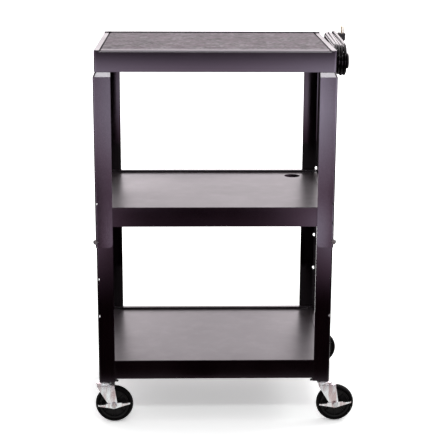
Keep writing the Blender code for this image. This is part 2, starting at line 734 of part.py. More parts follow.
def axle(name, spare, finish, parent):
    """An axle bolt through the fork with its nut, both outside the walls; spare seats a lever."""
    pin = bmesh.new()
    place = along_y(0, 0, 0)
    radius = AXLE_DIAMETER / 2
    head_seat = -FORK_OUTSIDE - CLEARANCE - spare
    nut_seat = FORK_OUTSIDE + CLEARANCE
    rings = list(reversed(hexagon_head(AXLE_HEAD_ACROSS, head_seat, -AXLE_HEAD_HEIGHT, place)))
    rings += [circle_ring(radius, head_seat, place), circle_ring(radius, nut_seat, place)]
    rings += hexagon_head(AXLE_HEAD_ACROSS, nut_seat, AXLE_HEAD_HEIGHT, place)
    tail = nut_seat + AXLE_HEAD_HEIGHT
    rings += [circle_ring(radius, tail, place), circle_ring(radius, tail + AXLE_TAIL, place)]
    loft(pin, rings)
    return to_object(name, pin, finish, parent)


def tyre(name, finish, parent):
    """A crowned tread whose flat facets touch the nominal wheel diameter."""
    flat = 1 / math.cos(math.pi / ROUND)
    half = TYRE_WIDTH / 2
    shoulder = WHEEL_RADIUS - TYRE_CROWN - TYRE_SHOULDER
    profile = [(WHEEL_RADIUS - TYRE_DEPTH, -half)]
    profile += [(r, y) for y, r in arc(-half + TYRE_SHOULDER, shoulder, TYRE_SHOULDER, 180, 90, 2)]
    profile.append((WHEEL_RADIUS, 0))
    profile += [(r, y) for y, r in arc(half - TYRE_SHOULDER, shoulder, TYRE_SHOULDER, 90, 0, 2)]
    profile.append((WHEEL_RADIUS - TYRE_DEPTH, half))
    tread = bmesh.new()
    profile = [(radius * flat, height) for radius, height in profile]
    lathe(tread, profile, ROUND, along_y(0, 0, 0), closed=True, start=0.5)
    return to_object(name, tread, finish, parent)


def hub(name, finish, parent):
    """A wheel body: boss bored for the axle, thin web and a rim that seats in the tyre."""
    rim = WHEEL_RADIUS - TYRE_DEPTH - CLEARANCE
    boss, web = HUB_BOSS_DIAMETER / 2, HUB_WEB / 2
    boss_half = FORK_INSIDE - CLEARANCE
    rim_half = TYRE_WIDTH / 2 - CLEARANCE
    bore = AXLE_DIAMETER / 2 + PIN_CLEARANCE
    side = [(bore, boss_half), (boss, boss_half), (boss, web), (rim - HUB_RIM, web)]
    side += [(rim - HUB_RIM, rim_half), (rim, rim_half)]
    profile = [(radius, -y) for radius, y in side] + list(reversed(side))
    body = bmesh.new()
    lathe(body, profile, ROUND, along_y(0, 0, 0), closed=True, start=0.5)
    return to_object(name, body, finish, parent)


def brake_lever(name, finish, parent):
    """A leaf-shaped rocking plate outside the front wall, with a folded pedal on each arm."""
    outer = -FORK_OUTSIDE - CLEARANCE - LEVER_SHEET
    inner = -FORK_OUTSIDE - CLEARANCE
    half = LEVER_LENGTH / 2
    top, low = LEVER_RISE, LEVER_RISE - LEVER_ARM
    start = tangent_angle(-half, low, 0, 0, LEVER_BOSS_RADIUS, 1)
    end = tangent_angle(half, low, 0, 0, LEVER_BOSS_RADIUS, -1)
    outline = [(half, low), (half, top), (-half, top), (-half, low)]
    outline += arc(0, 0, LEVER_BOSS_RADIUS, start, end + 360, BEND_STEPS)
    plate = bmesh.new()
    loft(plate, [[(x, y, z) for x, z in outline] for y in (outer, inner)])
    made = to_object(name, plate, finish, parent)
    made.rotation_euler.y = -LEVER_TILT

    for side in (-1, 1):
        pedal = bmesh.new()
        near, far = LEVER_BOSS_RADIUS + LEVER_ROOT, half
        reach = outer - LEVER_PEDAL
        soft = LEVER_PEDAL / 2
        fold = [(near, inner), (near, outer), (near + soft, reach), (far - soft, reach)]
        fold += [(far, reach + soft), (far, inner)]
        levels = (top - LEVER_SHEET, top)
        loft(pedal, [[(side * x, y, z) for x, y in fold] for z in levels])
        lip = cutter(name + ("_lip_ahead" if side > 0 else "_lip_behind"), pedal, parent)
        lip.rotation_euler.y = -LEVER_TILT
        boolean(made, lip, "UNION")

    hole = bmesh.new()
    radius = AXLE_DIAMETER / 2 + PIN_CLEARANCE
    place = along_y(0, 0, 0)
    cylinder(hole, radius, outer - OVERRUN, inner + OVERRUN, SMALL_ROUND, place)
    boolean(made, cutter(name + "_hole", hole, parent))
    return made


def slab(mesh_data, outline, stations, centre_y, centre_z):
    """A rounded outline in Y and Z lofted along X; each station is (x, draw-in of the outline)."""
    half_u, half_v, radius = outline
    rings = []
    for x, draw in stations:
        ring = rounded_rectangle(half_u - draw, half_v - draw, radius, BEND_STEPS)
        rings.append([(x, centre_y + u, centre_z + v) for u, v in ring])
    loft(mesh_data, rings)


def outlet_places():
    middle = (OUTLETS - 1) / 2
    return [HOUSING_CENTRE_Y + (i - middle) * OUTLET_PITCH for i in range(OUTLETS)]


def outlet_housing(finish, parent):
    """A moulded shell with eased front edges and one pocket for each receptacle."""
    shell = bmesh.new()
    outline = (HOUSING_LENGTH / 2, HOUSING_HEIGHT / 2, HOUSING_EDGE)
    eased = HOUSING_EDGE * (1 - math.cos(math.pi / 4))
    stations = [(HOUSING_BACK, 0), (HOUSING_FACE - HOUSING_EDGE, 0)]
    stations += [(HOUSING_FACE - eased, eased), (HOUSING_FACE, HOUSING_EDGE / 2)]
    slab(shell, outline, stations, HOUSING_CENTRE_Y, HOUSING_Z)
    made = to_object("outlet_housing", shell, finish, parent)

    pockets = bmesh.new()
    outline = (OUTLET_WIDTH / 2 + CLEARANCE, OUTLET_HEIGHT / 2 + CLEARANCE, OUTLET_CORNER + CLEARANCE)
    stations = [(HOUSING_FACE - OUTLET_DEPTH - CLEARANCE, 0), (HOUSING_FACE + OVERRUN, 0)]
    for y in outlet_places():
        slab(pockets, outline, stations, y, HOUSING_Z)
    boolean(made, cutter("outlet_pockets", pockets, parent))
    boolean(made, screw_bores("housing_bores", parent))
    return made


def receptacle(number, y, finish, parent):
    """A receptacle insert with two blade slots and a round ground hole."""
    insert = bmesh.new()
    face = HOUSING_FACE + OUTLET_PROUD
    outline = (OUTLET_WIDTH / 2, OUTLET_HEIGHT / 2, OUTLET_CORNER)
    slab(insert, outline, [(HOUSING_FACE - OUTLET_DEPTH, 0), (face, 0)], y, HOUSING_Z)
    name = "receptacle_%d" % number
    made = to_object(name, insert, finish, parent)

    slots = bmesh.new()
    for side in (-1, 1):
        centre = (face, y + side * SLOT_SPACING / 2, HOUSING_Z + SLOT_RISE)
        size = (2 * SLOT_DEPTH, SLOT_WIDTH, SLOT_HEIGHT)
        place = Matrix.Translation(centre) @ Matrix.Diagonal((*size, 1))
        bmesh.ops.create_cube(slots, size=1, matrix=place)
    place = along_x(face, y, HOUSING_Z - GROUND_DROP)
    cylinder(slots, GROUND_DIAMETER / 2, -SLOT_DEPTH, SLOT_DEPTH, HEX_ROUND, place)
    boolean(made, cutter(name + "_slots", slots, parent))
    return made


def housing_screw(name, y, finish, parent):
    """A pan-head screw from inside the skirt into the housing."""
    inside = HALF_WIDTH - SHELF_SHEET - CLEARANCE
    shank, head = SCREW_DIAMETER / 2, SCREW_HEAD_DIAMETER / 2
    profile = [(0, -SCREW_HEAD_HEIGHT), (head * SCREW_CROWN_SHARE, -SCREW_HEAD_HEIGHT)]
    profile += [(head, -SCREW_HEAD_HEIGHT / 2), (head, 0), (shank, 0), (shank, SCREW_LENGTH)]
    profile.append((0, SCREW_LENGTH))
    screw = bmesh.new()
    lathe(screw, profile, HEX_ROUND, along_x(inside, y, HOUSING_Z))
    return to_object(name, screw, finish, parent)


def cord_hook(name, end, finish, parent):
    """A post on the housing's face with an oval plate that keeps the loops on it."""
    edge = HOUSING_CENTRE_Y + end * HOUSING_LENGTH / 2
    hook = bmesh.new()
    outline = (HOOK_FLANGE_REACH / 2, HOOK_FLANGE_HEIGHT / 2, HOOK_FLANGE_HEIGHT / 2 - CLEARANCE)
    centre = edge - end * (HOOK_POST_WIDTH - HOOK_FLANGE_REACH / 2)
    stations = [(HOOK_FLANGE_X, 0), (HOOK_FLANGE_X + HOOK_FLANGE_SHEET, 0)]
    slab(hook, outline, stations, centre, HOUSING_Z)
    made = to_object(name, hook, finish, parent)

    post = bmesh.new()
    outline = (HOOK_POST_WIDTH / 2, HOOK_POST_HEIGHT / 2, HOOK_POST_WIDTH / 3)
    stations = [(HOUSING_FACE + CLEARANCE, 0), (HOOK_FLANGE_X + HOOK_FLANGE_SHEET / 2, 0)]
    slab(post, outline, stations, edge - end * HOOK_POST_WIDTH / 2, HOUSING_Z)
    boolean(made, cutter(name + "_post", post, parent), "UNION")
    return made


def strain_relief(finish, parent):
    """A tapered bush on the housing's rear end, where the cord comes out."""
    bush = bmesh.new()
    root, tip = RELIEF_ROOT_DIAMETER / 2, RELIEF_TIP_DIAMETER / 2
    profile = [(0, 0), (root, 0), (root, RELIEF_FLANGE), (tip + (root - tip) / 2, RELIEF_FLANGE)]
    profile += [(tip, RELIEF_LENGTH), (0, RELIEF_LENGTH)]
    lathe(bush, profile, SMALL_ROUND, along_y(LAYER_ONE_X, RELIEF_FOOT_Y, HOUSING_Z))
    return to_object("cord_strain_relief", bush, finish, parent)


def smooth_route(points, spacing):
    """Points at even steps along a smooth curve through the route's points, its ends straight."""
    knots = [Vector(point) for point in points]
    knots = [2 * knots[0] - knots[1], *knots, 2 * knots[-1] - knots[-2]]
    dense = []
    for before, start, end, after in zip(knots, knots[1:], knots[2:], knots[3:]):
        for i in range(SMALL_ROUND):
            t = i / SMALL_ROUND
            a = 2 * start
            b = (end - before) * t
            c = (2 * before - 5 * start + 4 * end - after) * t ** 2
            d = (3 * start - before - 3 * end + after) * t ** 3
            dense.append((a + b + c + d) / 2)
    dense.append(knots[-2])
    lengths = [(later - earlier).length for earlier, later in zip(dense, dense[1:])]
    count = max(2, round(sum(lengths) / spacing))
    step = sum(lengths) / count
    found, travelled, target = [dense[0]], 0, step
    for earlier, later, length in zip(dense, dense[1:], lengths):
        while travelled + length >= target and len(found) < count:
            found.append(earlier.lerp(later, (target - travelled) / length))
            target += step
        travelled += length
    first, last = (knots[2] - knots[1]).normalized(), (knots[-2] - knots[-3]).normalized()
    found.insert(1, dense[0] + first * CORD_RADIUS)
    found += [dense[-1] - last * CORD_RADIUS, dense[-1]]
    return found


def cord_tube(name, points, sides, finish, parent):
    curve = bpy.data.curves.new(name, "CURVE")
    curve.dimensions = "3D"
    curve.bevel_depth = CORD_RADIUS
    curve.bevel_resolution = sides
    curve.use_fill_caps = True
    spline = curve.splines.new("POLY")
    spline.points.add(len(points) - 1)
    for place, point in zip(spline.points, points):
        place.co = (*point, 1)
    curve.materials.append(finish)
    item = bpy.data.objects.new(name, curve)
    bpy.context.collection.objects.link(item)
    item.parent = parent
    return item


def loop_point(turns):
    """The wound cord's centre after a number of turns, spiralling out and in, layer by layer."""
    layer = min(int(turns / LOOPS_PER_LAYER), CORD_LAYERS - 1)
    within = turns - layer * LOOPS_PER_LAYER
    if layer % 2:
        within = LOOPS_PER_LAYER - within
    radius = LOOP_INNER_RADIUS + CORD_PITCH * within
    x = LAYER_ONE_X
    for reversal in range(1, CORD_LAYERS):
        climb = (turns - reversal * LOOPS_PER_LAYER) / LAYER_CHANGE_TURNS + 1 / 2
        x += CORD_PITCH * min(max(climb, 0), 1)
    phase = turns % 1
    run, quarter = int(phase * 4), phase * 4 % 1
    if run == 0:
        y, rise = LOOP_REAR_Y + (LOOP_FRONT_Y - LOOP_REAR_Y) * quarter, 1
    elif run == 1:
        angle = math.pi * quarter
        y, rise = LOOP_FRONT_Y - radius * math.sin(angle), math.cos(angle)
    elif run == 2:
        y, rise = LOOP_FRONT_Y + (LOOP_REAR_Y - LOOP_FRONT_Y) * quarter, -1
    else:
        angle = math.pi * quarter
        y, rise = LOOP_REAR_Y + radius * math.sin(angle), -math.cos(angle)
    rearward = min(max((y - LOOP_FRONT_Y) / (LOOP_REAR_Y - LOOP_FRONT_Y), 0), 1)
    lift = HANK_RISE_REAR * rearward * (1 + rise) / 2
    return Vector((x, y, HOUSING_Z + radius * rise + lift))


def loop_phases():
    """Turns at which the hank has its points: few along the straight runs, many round the ends."""
    total = CORD_LAYERS * LOOPS_PER_LAYER
    round_end = POINTS_PER_LOOP // 2 - RUN_STEPS
    found, turn = [], 0
    while turn < total:
        for run, steps in enumerate((RUN_STEPS, round_end, RUN_STEPS, round_end)):
            found += [turn + (run + i / steps) / 4 for i in range(steps)]
        turn += 1
    return [phase for phase in found if phase < total] + [total]


def hank_points():
    points = [loop_point(turns) for turns in loop_phases()]
    first, last = points[0], points[-1]
    points[0] = first - Vector((0, CLEARANCE, 0))
    points[1:1] = [first - Vector((0, CORD_DIAMETER, 0))]
    points[-1] = last - Vector((0, CORD_DIAMETER, 0))
    points.append(last)
    return points


def least_gap(points):
    """Least gap between the wound cord and itself, from points along every stretch."""
    samples, travelled, distance = [], [], 0
    for start, end in zip(points, points[1:]):
        for i in range(POINTS_PER_LOOP // 3):
            share = i * 3 / POINTS_PER_LOOP
            samples.append(start.lerp(end, share))
            travelled.append(distance + share * (end - start).length)
        distance += (end - start).length
    places = numpy.array(samples)
    travelled = numpy.array(travelled)
    least = distance
    for i in range(len(places)):
        apart = travelled - travelled[i] > 3 * CORD_DIAMETER
        if apart.any():
            least = min(least, numpy.linalg.norm(places[apart] - places[i], axis=1).min())
    return least - CORD_DIAMETER


def lead_points():
    """From the strain relief out to the rear and back over it to the first loop."""
    start = Vector((LAYER_ONE_X, RELIEF_FOOT_Y + RELIEF_LENGTH + CLEARANCE, HOUSING_Z))
    end = loop_point(0)
    rise = end.z - HOUSING_Z
    turn = arc(start.y + CORD_DIAMETER, HOUSING_Z + rise / 2, rise / 2, -90, 90, BEND_STEPS)
    route = [start] + [Vector((LAYER_ONE_X, y, z)) for y, z in turn] + [end]
    return smooth_route(route, CORD_DIAMETER)


def tail_points():
    """From the last loop outward past the rear hook's plate and up into the plug's neck."""
    last = loop_point(CORD_LAYERS * LOOPS_PER_LAYER)
    neck = PLUG_BASE - PLUG_NECK_HEIGHT - CLEARANCE
    across, along, up = PLUG_X - last.x, PLUG_Y - last.y, neck - last.z
    route = [last + Vector((across * u, along * v, up * w)) for u, v, w in TAIL_ROUTE_SHARES]
    route[0].y += CLEARANCE
    return smooth_route(route, CORD_DIAMETER)


def plug(finish, parent):
    """A moulded plug standing on its neck, with two flat blades and a round ground pin."""
    body = bmesh.new()
    neck, wide, thick = PLUG_NECK_DIAMETER / 2, PLUG_WIDTH / 2, PLUG_THICKNESS / 2
    shoulder = PLUG_BASE + PLUG_HEIGHT * PLUG_SHOULDER_SHARE
    face = PLUG_BASE + PLUG_HEIGHT
    corner = thick * PLUG_CORNER_SHARE
    sections = (
        (PLUG_BASE - PLUG_NECK_HEIGHT, neck, neck, neck * PLUG_ROUND_SHARE),
        (PLUG_BASE, neck, neck, neck * PLUG_ROUND_SHARE),
        (shoulder, wide, thick, corner),
        (face - PLUG_EDGE, wide, thick, corner),
        (face, wide - PLUG_EDGE, thick - PLUG_EDGE, corner - PLUG_EDGE),
    )
    rings = []
    for z, half_y, half_x, radius in sections:
        ring = rounded_rectangle(half_x, half_y, radius, BEND_STEPS)
        rings.append([(PLUG_X + u, PLUG_Y + v, z) for u, v in ring])
    loft(body, rings)
    made = to_object("plug", body, finish, parent)

    low = face - BLADE_ROOT
    blade_y = PLUG_Y + GROUND_PIN_OFFSET / 2
    for side, blade_name in ((-1, "plug_blade_near"), (1, "plug_blade_far")):
        blade = bmesh.new()
        x = PLUG_X + side * BLADE_SPACING / 2
        size = (BLADE_SHEET, BLADE_WIDTH, BLADE_LENGTH + BLADE_ROOT)
        place = Matrix.Translation((x, blade_y, low + (BLADE_LENGTH + BLADE_ROOT) / 2))
        bmesh.ops.create_cube(blade, size=1, matrix=place @ Matrix.Diagonal((*size, 1)))
        boolean(made, cutter(blade_name, blade, parent), "UNION")
    radius = GROUND_PIN_DIAMETER / 2
    top = BLADE_ROOT + GROUND_PIN_LENGTH
    profile = [(0, 0), (radius, 0), (radius, top - radius), (radius / 2, top), (0, top)]
    pin = bmesh.new()
    place = Matrix.Translation((PLUG_X, PLUG_Y - GROUND_PIN_OFFSET, low))
    lathe(pin, profile, HEX_ROUND, place)
    boolean(made, cutter("plug_ground_pin", pin, parent), "UNION")
    return made


def empty(name, place, parent):
    item = bpy.data.objects.new(name, None)
    bpy.context.collection.objects.link(item)
    item.empty_display_size = RACEWAY_DIAMETER
    item.parent = parent
    item.location = place
    return item


def shelves(lower, upper):
    coat = "shelf coat "
    black = (0.030, 0.028, 0.030)
    top = shelf_pan("top_shelf", TOP_DECK, surface(coat + "top", black, 0.35, 0.0), upper)
    boolean(top, screw_bores("skirt_bores", upper))
    middle = shelf_pan("middle_shelf", MIDDLE_DECK, surface(coat + "middle", black, 0.35, 0.0), lower)
    cut_cable_hole(middle, lower)
    shelf_pan("bottom_shelf", BOTTOM_DECK, surface(coat + "bottom", black, 0.35, 0.0), lower)
    top_mat(surface("mat rubber", (0.06, 0.06, 0.06), 0.75, 0.0), upper)


def legs(lower, upper):
    black = (0.035, 0.031, 0.033)
    for corner, sx, sy in CORNERS:
        lower_leg("lower_leg_" + corner, sx, sy, surface("lower leg " + corner, black, 0.4, 0.0), lower)
        upper_leg("upper_leg_" + corner, sx, sy, surface("upper leg " + corner, black, 0.4, 0.0), upper)
        zinc = surface("bolt zinc " + corner, (0.55, 0.55, 0.56), 0.35, 1.0)
        height_bolt("height_bolt_" + corner, sx, sy, zinc, upper)


def caster_mounts(lower):
    for corner, sx, sy in CORNERS:
        plate_coat = surface("plate coat " + corner, (0.03, 0.028, 0.03), 0.45, 0.0)
        corner_plate("corner_plate_" + corner, sx, sy, plate_coat, lower)
        zinc = surface("raceway zinc " + corner, (0.62, 0.62, 0.64), 0.3, 1.0)
        raceway("raceway_" + corner, sx, sy, zinc, lower)
        zinc = surface("kingpin zinc " + corner, (0.6, 0.6, 0.62), 0.3, 1.0)
        kingpin("kingpin_" + corner, sx, sy, zinc, lower)


def caster(corner, sx, sy, lower):
    """One swivel caster; its empties stand on the swivel axis and on the axle."""
    swivel = empty("swivel_axis_" + corner, (sx * STEM_X, sy * STEM_Y, 0), lower)
    spin = empty("axle_axis_" + corner, (TRAIL, 0, WHEEL_RADIUS), swivel)
    zinc = (0.62, 0.62, 0.64)
    caster_fork("fork_" + corner, surface("fork zinc " + corner, zinc, 0.3, 1.0), swivel)
    braked = sy < 0
    spare = LEVER_SHEET + CLEARANCE if braked else 0
    axle("axle_" + corner, spare, surface("axle zinc " + corner, zinc, 0.35, 1.0), spin)
    tyre("tyre_" + corner, surface("tyre rubber " + corner, (0.02, 0.02, 0.02), 0.7, 0.0), spin)
    hub("hub_" + corner, surface("hub plastic " + corner, (0.03, 0.03, 0.03), 0.5, 0.0), spin)
    if braked:
        finish = surface("lever zinc " + corner, zinc, 0.3, 1.0)
        brake_lever("brake_lever_" + corner, finish, spin)


def power_unit(upper):
    plastic = (0.02, 0.02, 0.021)
    outlet_housing(surface("housing plastic", plastic, 0.45, 0.0), upper)
    for number, y in enumerate(outlet_places(), 1):
        finish = surface("receptacle plastic %d" % number, (0.03, 0.03, 0.03), 0.5, 0.0)
        receptacle(number, y, finish, upper)
    for name, end in (("cord_hook_front", -1), ("cord_hook_rear", 1)):
        cord_hook(name, end, surface(name + " plastic", plastic, 0.45, 0.0), upper)
    for name, y in zip(("housing_screw_front", "housing_screw_rear"), screw_places()):
        housing_screw(name, y, surface(name + " zinc", (0.6, 0.6, 0.62), 0.35, 1.0), upper)
    strain_relief(surface("relief rubber", plastic, 0.6, 0.0), upper)


def power_cord(upper):
    rubber = (0.02, 0.02, 0.02)
    hank = hank_points()
    print("least gap of the wound cord to itself: %.2f mm" % (least_gap(hank) * 1000))
    routes = (
        ("power_cord_lead", lead_points(), 2),
        ("power_cord_hank", hank, 1),
        ("power_cord_tail", tail_points(), 2),
    )
    length = 0
    for name, points, sides in routes:
        cord_tube(name, points, sides, surface(name + " rubber", rubber, 0.5, 0.0), upper)
        length += sum((end - start).length for start, end in zip(points, points[1:]))
    print("cord length: %.3f m" % length)
    plug(surface("plug rubber", rubber, 0.5, 0.0), upper)


def main():
    clear_scene()
    cart = empty("cart", (CART_SHIFT, 0, 0), None)
    lower = empty("lower_frame", (0, 0, 0), cart)
    upper = empty("upper_frame", (0, 0, 0), cart)
    shelves(lower, upper)
    legs(lower, upper)
    caster_mounts(lower)
    for corner, sx, sy in CORNERS:
        caster(corner, sx, sy, lower)
    power_unit(upper)
    power_cord(upper)


main()
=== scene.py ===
"""Looks of the adjustable steel utility cart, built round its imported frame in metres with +Z up."""

import math

import bmesh
import bpy
from mathutils import Matrix, Vector


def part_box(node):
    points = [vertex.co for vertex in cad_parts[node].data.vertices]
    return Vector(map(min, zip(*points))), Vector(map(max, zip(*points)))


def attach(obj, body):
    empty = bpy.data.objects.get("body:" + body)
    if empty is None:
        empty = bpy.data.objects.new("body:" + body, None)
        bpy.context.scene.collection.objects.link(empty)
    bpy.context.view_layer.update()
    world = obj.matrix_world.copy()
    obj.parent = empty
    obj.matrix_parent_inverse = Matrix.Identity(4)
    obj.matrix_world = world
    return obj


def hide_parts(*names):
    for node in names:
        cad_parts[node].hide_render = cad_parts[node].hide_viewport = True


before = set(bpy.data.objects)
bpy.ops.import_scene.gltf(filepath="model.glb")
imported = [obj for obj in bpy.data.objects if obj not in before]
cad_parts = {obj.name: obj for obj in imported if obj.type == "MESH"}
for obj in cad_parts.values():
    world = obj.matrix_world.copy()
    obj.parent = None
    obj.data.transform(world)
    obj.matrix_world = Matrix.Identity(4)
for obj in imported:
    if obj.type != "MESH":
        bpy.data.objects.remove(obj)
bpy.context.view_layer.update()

# Sizes and places of the source, in metres
CART_SHIFT = -0.02915
CLEARANCE = 0.0003
STEM_X = 0.298
STEM_Y = 0.2191
WHEEL_RADIUS = 0.0508
TRAIL = 0.0285
TYRE_HALF = 0.012
HUB_RADIUS = 0.0390
HUB_HALF = 0.0117
HUB_BOSS_HALF = 0.0137
RACEWAY_RADIUS = 0.021
RACEWAY_HEIGHT = 0.0084
RACEWAY_BORE = 0.0043
HOUSING_Z = 0.9646
RELIEF_FOOT_Y = 0.0983
RELIEF_LENGTH = 0.014
CORD_RADIUS = 0.0036
CORD_STEP = 0.0035
CORD_PITCH = 0.0083
CORD_LAYERS = 4
LOOPS_PER_LAYER = 1.652
LOOP_INNER_RADIUS = 0.0285
LOOP_REAR_Y = 0.116
LOOP_FRONT_Y = -0.098
LAYER_ONE_X = 0.3156
HANK_RISE_REAR = 0.010
PLUG_X = 0.3557
PLUG_Y = 0.100
PLUG_BASE = 0.9866
PLUG_NECK_HEIGHT = 0.006
PLUG_HEIGHT = 0.028
PLUG_HALF_WIDTH = 0.013
PLUG_HALF_THICKNESS = 0.011
CORNERS = (("front_left", -1, -1), ("front_right", 1, -1), ("rear_left", -1, 1), ("rear_right", 1, 1))
PLACE = Matrix.Translation((CART_SHIFT, 0, 0))

# Camera: the photograph's viewing angle
CAMERA_PLACE = (-0.09905, -3.4415, 1.3674)
CAMERA_YAW, CAMERA_PITCH, CAMERA_ROLL = (math.radians(a) for a in (1.635, 14.228, 0.305))
CAMERA_LENS = 102.5
CAMERA_SENSOR = 36
CAMERA_SHIFT = 0.0003

# Lamps: name, place, target, size in metres, power in watts
LAMPS = (
    ("key", (0.15, -3.03, 3.17), (0, -0.2, 0.9), (2.4, 0.45), 33),
    ("overhead", (0.1, 0.3, 3.4), (0, 0, 0), (2.6, 1.8), 19),
    ("rim", (2.6, 0.9, 2.3), (0.1, 0, 0.5), (0.9, 0.9), 14),
)

# Studio floor: half its side, and the camera's view of it, whose own light rises from the lift
# near the cart to plain white further off
FLOOR_REACH = 40.0
FLOOR_LIFT = 0.30
FLOOR_LIFT_FROM, FLOOR_LIFT_TO = 0.9, 2.6
FLOOR_TONE = (1.25, 1.315, 1.285, 1.0)
FLOOR_BOUNCE = (0.45, 0.44, 0.45, 1.0)
# What gloss alone sees of the floor, before the gain: level by distance in front of the cart's
# middle, in metres. Together they stand for the pale sweep, flags and soft boxes of a photo studio
MIRRORED_FLOOR = (
    (0.0, 0.0), (1.32, 0.0), (1.47, 0.11), (1.60, 0.29), (1.73, 0.40),
    (1.87, 0.52), (2.06, 0.78), (2.23, 0.74), (2.40, 0.68), (2.58, 0.56), (2.77, 0.38), (2.98, 0.31),
    (3.20, 0.34), (3.44, 0.44), (3.97, 0.62), (4.60, 0.80), (5.30, 0.95), (5.70, 0.96), (6.06, 0.88),
    (6.70, 0.72), (7.00, 0.66), (7.55, 0.56), (8.00, 0.52), (8.60, 0.43), (10.0, 0.20), (11.8, 0.08),
    (13.5, 0.08), (16.0, 0.10),
)
# The same by place across, in metres, for the near and for the far part, and where one gives
# way to the other
MIRRORED_NEAR = (
    (-1.5, 0.95), (-0.60, 0.66), (-0.52, 0.58), (-0.46, 0.34), (-0.42, 0.18), (-0.38, 0.09), (-0.27, 0.01),
    (-0.10, 0.0), (0.06, 0.02), (0.17, 0.04), (0.22, 0.06), (0.28, 0.10), (0.33, 0.18), (0.39, 0.34),
    (0.44, 0.60), (0.50, 0.88), (0.60, 1.15), (1.5, 1.35),
)
MIRRORED_FAR = (
    (-1.5, 1.10), (-1.0, 1.04), (-0.62, 0.86), (-0.30, 0.76), (0.10, 0.74), (0.45, 0.82), (0.80, 1.02),
    (1.5, 1.60),
)
MIRRORED_HALF = 1.5
MIRRORED_DEPTH = 16.0
MIRRORED_FAR_FROM, MIRRORED_FAR_TO = 3.0, 4.4
MIRRORED_GAIN = 3.1
# Its tint, from the dim to the bright parts, far off, and close to the cart
MIRRORED_DIM = (1.0, 0.60, 0.86, 1.0)
MIRRORED_BRIGHT = (1.0, 0.90, 1.10, 1.0)
MIRRORED_DISTANT = (1.0, 0.86, 1.10, 1.0)
MIRRORED_CLOSE = (1.0, 0.985, 0.97, 1.0)
# The surround as gloss and soft light see it, white to the camera: level by height of direction,
# from the horizon to straight up
SKY_RISE = (
    (0.0, 0.42), (0.04, 0.44), (0.08, 0.54), (0.13, 0.78), (0.195, 1.20), (0.25, 1.18), (0.30, 0.76),
    (0.36, 0.64), (0.45, 0.80), (0.60, 0.75), (1.0, 0.30),
)
# The same by how far aside the direction points, counted only from well above the horizon
SKY_SIDES = ((0.0, 0.86), (0.03, 0.90), (0.08, 1.50), (0.14, 1.85), (0.5, 1.4), (1.0, 1.0))
SKY_MIDDLE = 0.014
SKY_SIDES_FROM, SKY_SIDES_TO = 0.12, 0.18
# Its gain for gloss, and the share of it that soft light gets
SKY_GAIN = 2.12
SKY_SOFT_SHARE = 0.48
SKY_TINT = (1.0, 0.925, 0.96, 1.0)


class Nodes:
    """Shader nodes of one tree, made and linked by short calls."""

    def __init__(self, tree, space):
        self.tree = tree
        self.space = self.add("ShaderNodeTexCoord").outputs[space]

    def add(self, kind, inputs=None, **settings):
        made = self.tree.nodes.new(kind)
        for key, value in settings.items():
            setattr(made, key, value)
        for key, value in (inputs or {}).items():
            if isinstance(value, bpy.types.NodeSocket):
                self.tree.links.new(value, made.inputs[key])
            else:
                made.inputs[key].default_value = value
        return made

    def noise(self, scale, detail=2.0, stretch=None):
        space = self.space
        if stretch:
            space = self.add("ShaderNodeMapping", {"Vector": space, "Scale": stretch}).outputs[0]
        wanted = {"Vector": space, "Scale": scale, "Detail": detail}
        return self.add("ShaderNodeTexNoise", wanted).outputs["Fac"]

    def cells(self, scale, feature="F1"):
        wanted = {"Vector": self.space, "Scale": scale}
        return self.add("ShaderNodeTexVoronoi", wanted, feature=feature).outputs["Distance"]

    def span(self, value, low, high, to_low, to_high):
        wanted = {"Value": value, "From Min": low, "From Max": high, "To Min": to_low, "To Max": to_high}
        return self.add("ShaderNodeMapRange", wanted).outputs["Result"]

    def maths(self, operation, first, second=0.0):
        return self.add("ShaderNodeMath", {0: first, 1: second}, operation=operation).outputs[0]

    def product(self, first, *others):
        for other in others:
            first = self.maths("MULTIPLY", first, other)
        return first

    def steps(self, value, low, high, stops):
        """A curve of straight stretches through (value, result) stops, from low to high."""
        share = self.span(value, low, high, 0.0, 1.0)
        ramp = self.add("ShaderNodeValToRGB", {"Fac": share})
        marks = ramp.color_ramp.elements
        marks.remove(marks[1])
        peak = max(level for place, level in stops)
        for number, (place, level) in enumerate(stops):
            where = (place - low) / (high - low)
            mark = marks[0] if number == 0 else marks.new(where)
            mark.position = where
            mark.color = (level / peak, level / peak, level / peak, 1)
        return self.product(ramp.outputs["Color"], peak)

    def mix(self, share, first, second):
        wanted = {"Fac": share, "Color1": first, "Color2": second}
        return self.add("ShaderNodeMixRGB", wanted).outputs["Color"]

    def axes(self, *wanted):
        """Coordinates of a point of the piece's own space, by axis name."""
        split = self.add("ShaderNodeSeparateXYZ", {"Vector": self.space})
        return [split.outputs[axis] for axis in wanted]

    def outward(self):
        """Distance of a point from the cart's middle, to either side."""
        across, = self.axes("X")
        return self.maths("ABSOLUTE", self.maths("SUBTRACT", across, CART_SHIFT))

    def facing(self, axis):
        """How far a surface faces along an axis, from -1 to 1."""
        normal = self.add("ShaderNodeNewGeometry").outputs["Normal"]
        return self.add("ShaderNodeSeparateXYZ", {"Vector": normal}).outputs[axis]

    def upward(self, low, high):
        """Share of a surface that faces up, from 0 at the low to 1 at the high slope."""
        return self.span(self.facing("Z"), low, high, 0.0, 1.0)

    def bump(self, height, distance, strength=1.0, under=None):
        """A normal bent by a height; under is a normal to bend further."""
        wanted = {"Height": height, "Distance": distance, "Strength": strength}
        if under:
            wanted["Normal"] = under
        return self.add("ShaderNodeBump", wanted).outputs["Normal"]

    def link(self, output, node, socket):
        self.tree.links.new(output, self.tree.nodes[node].inputs[socket])


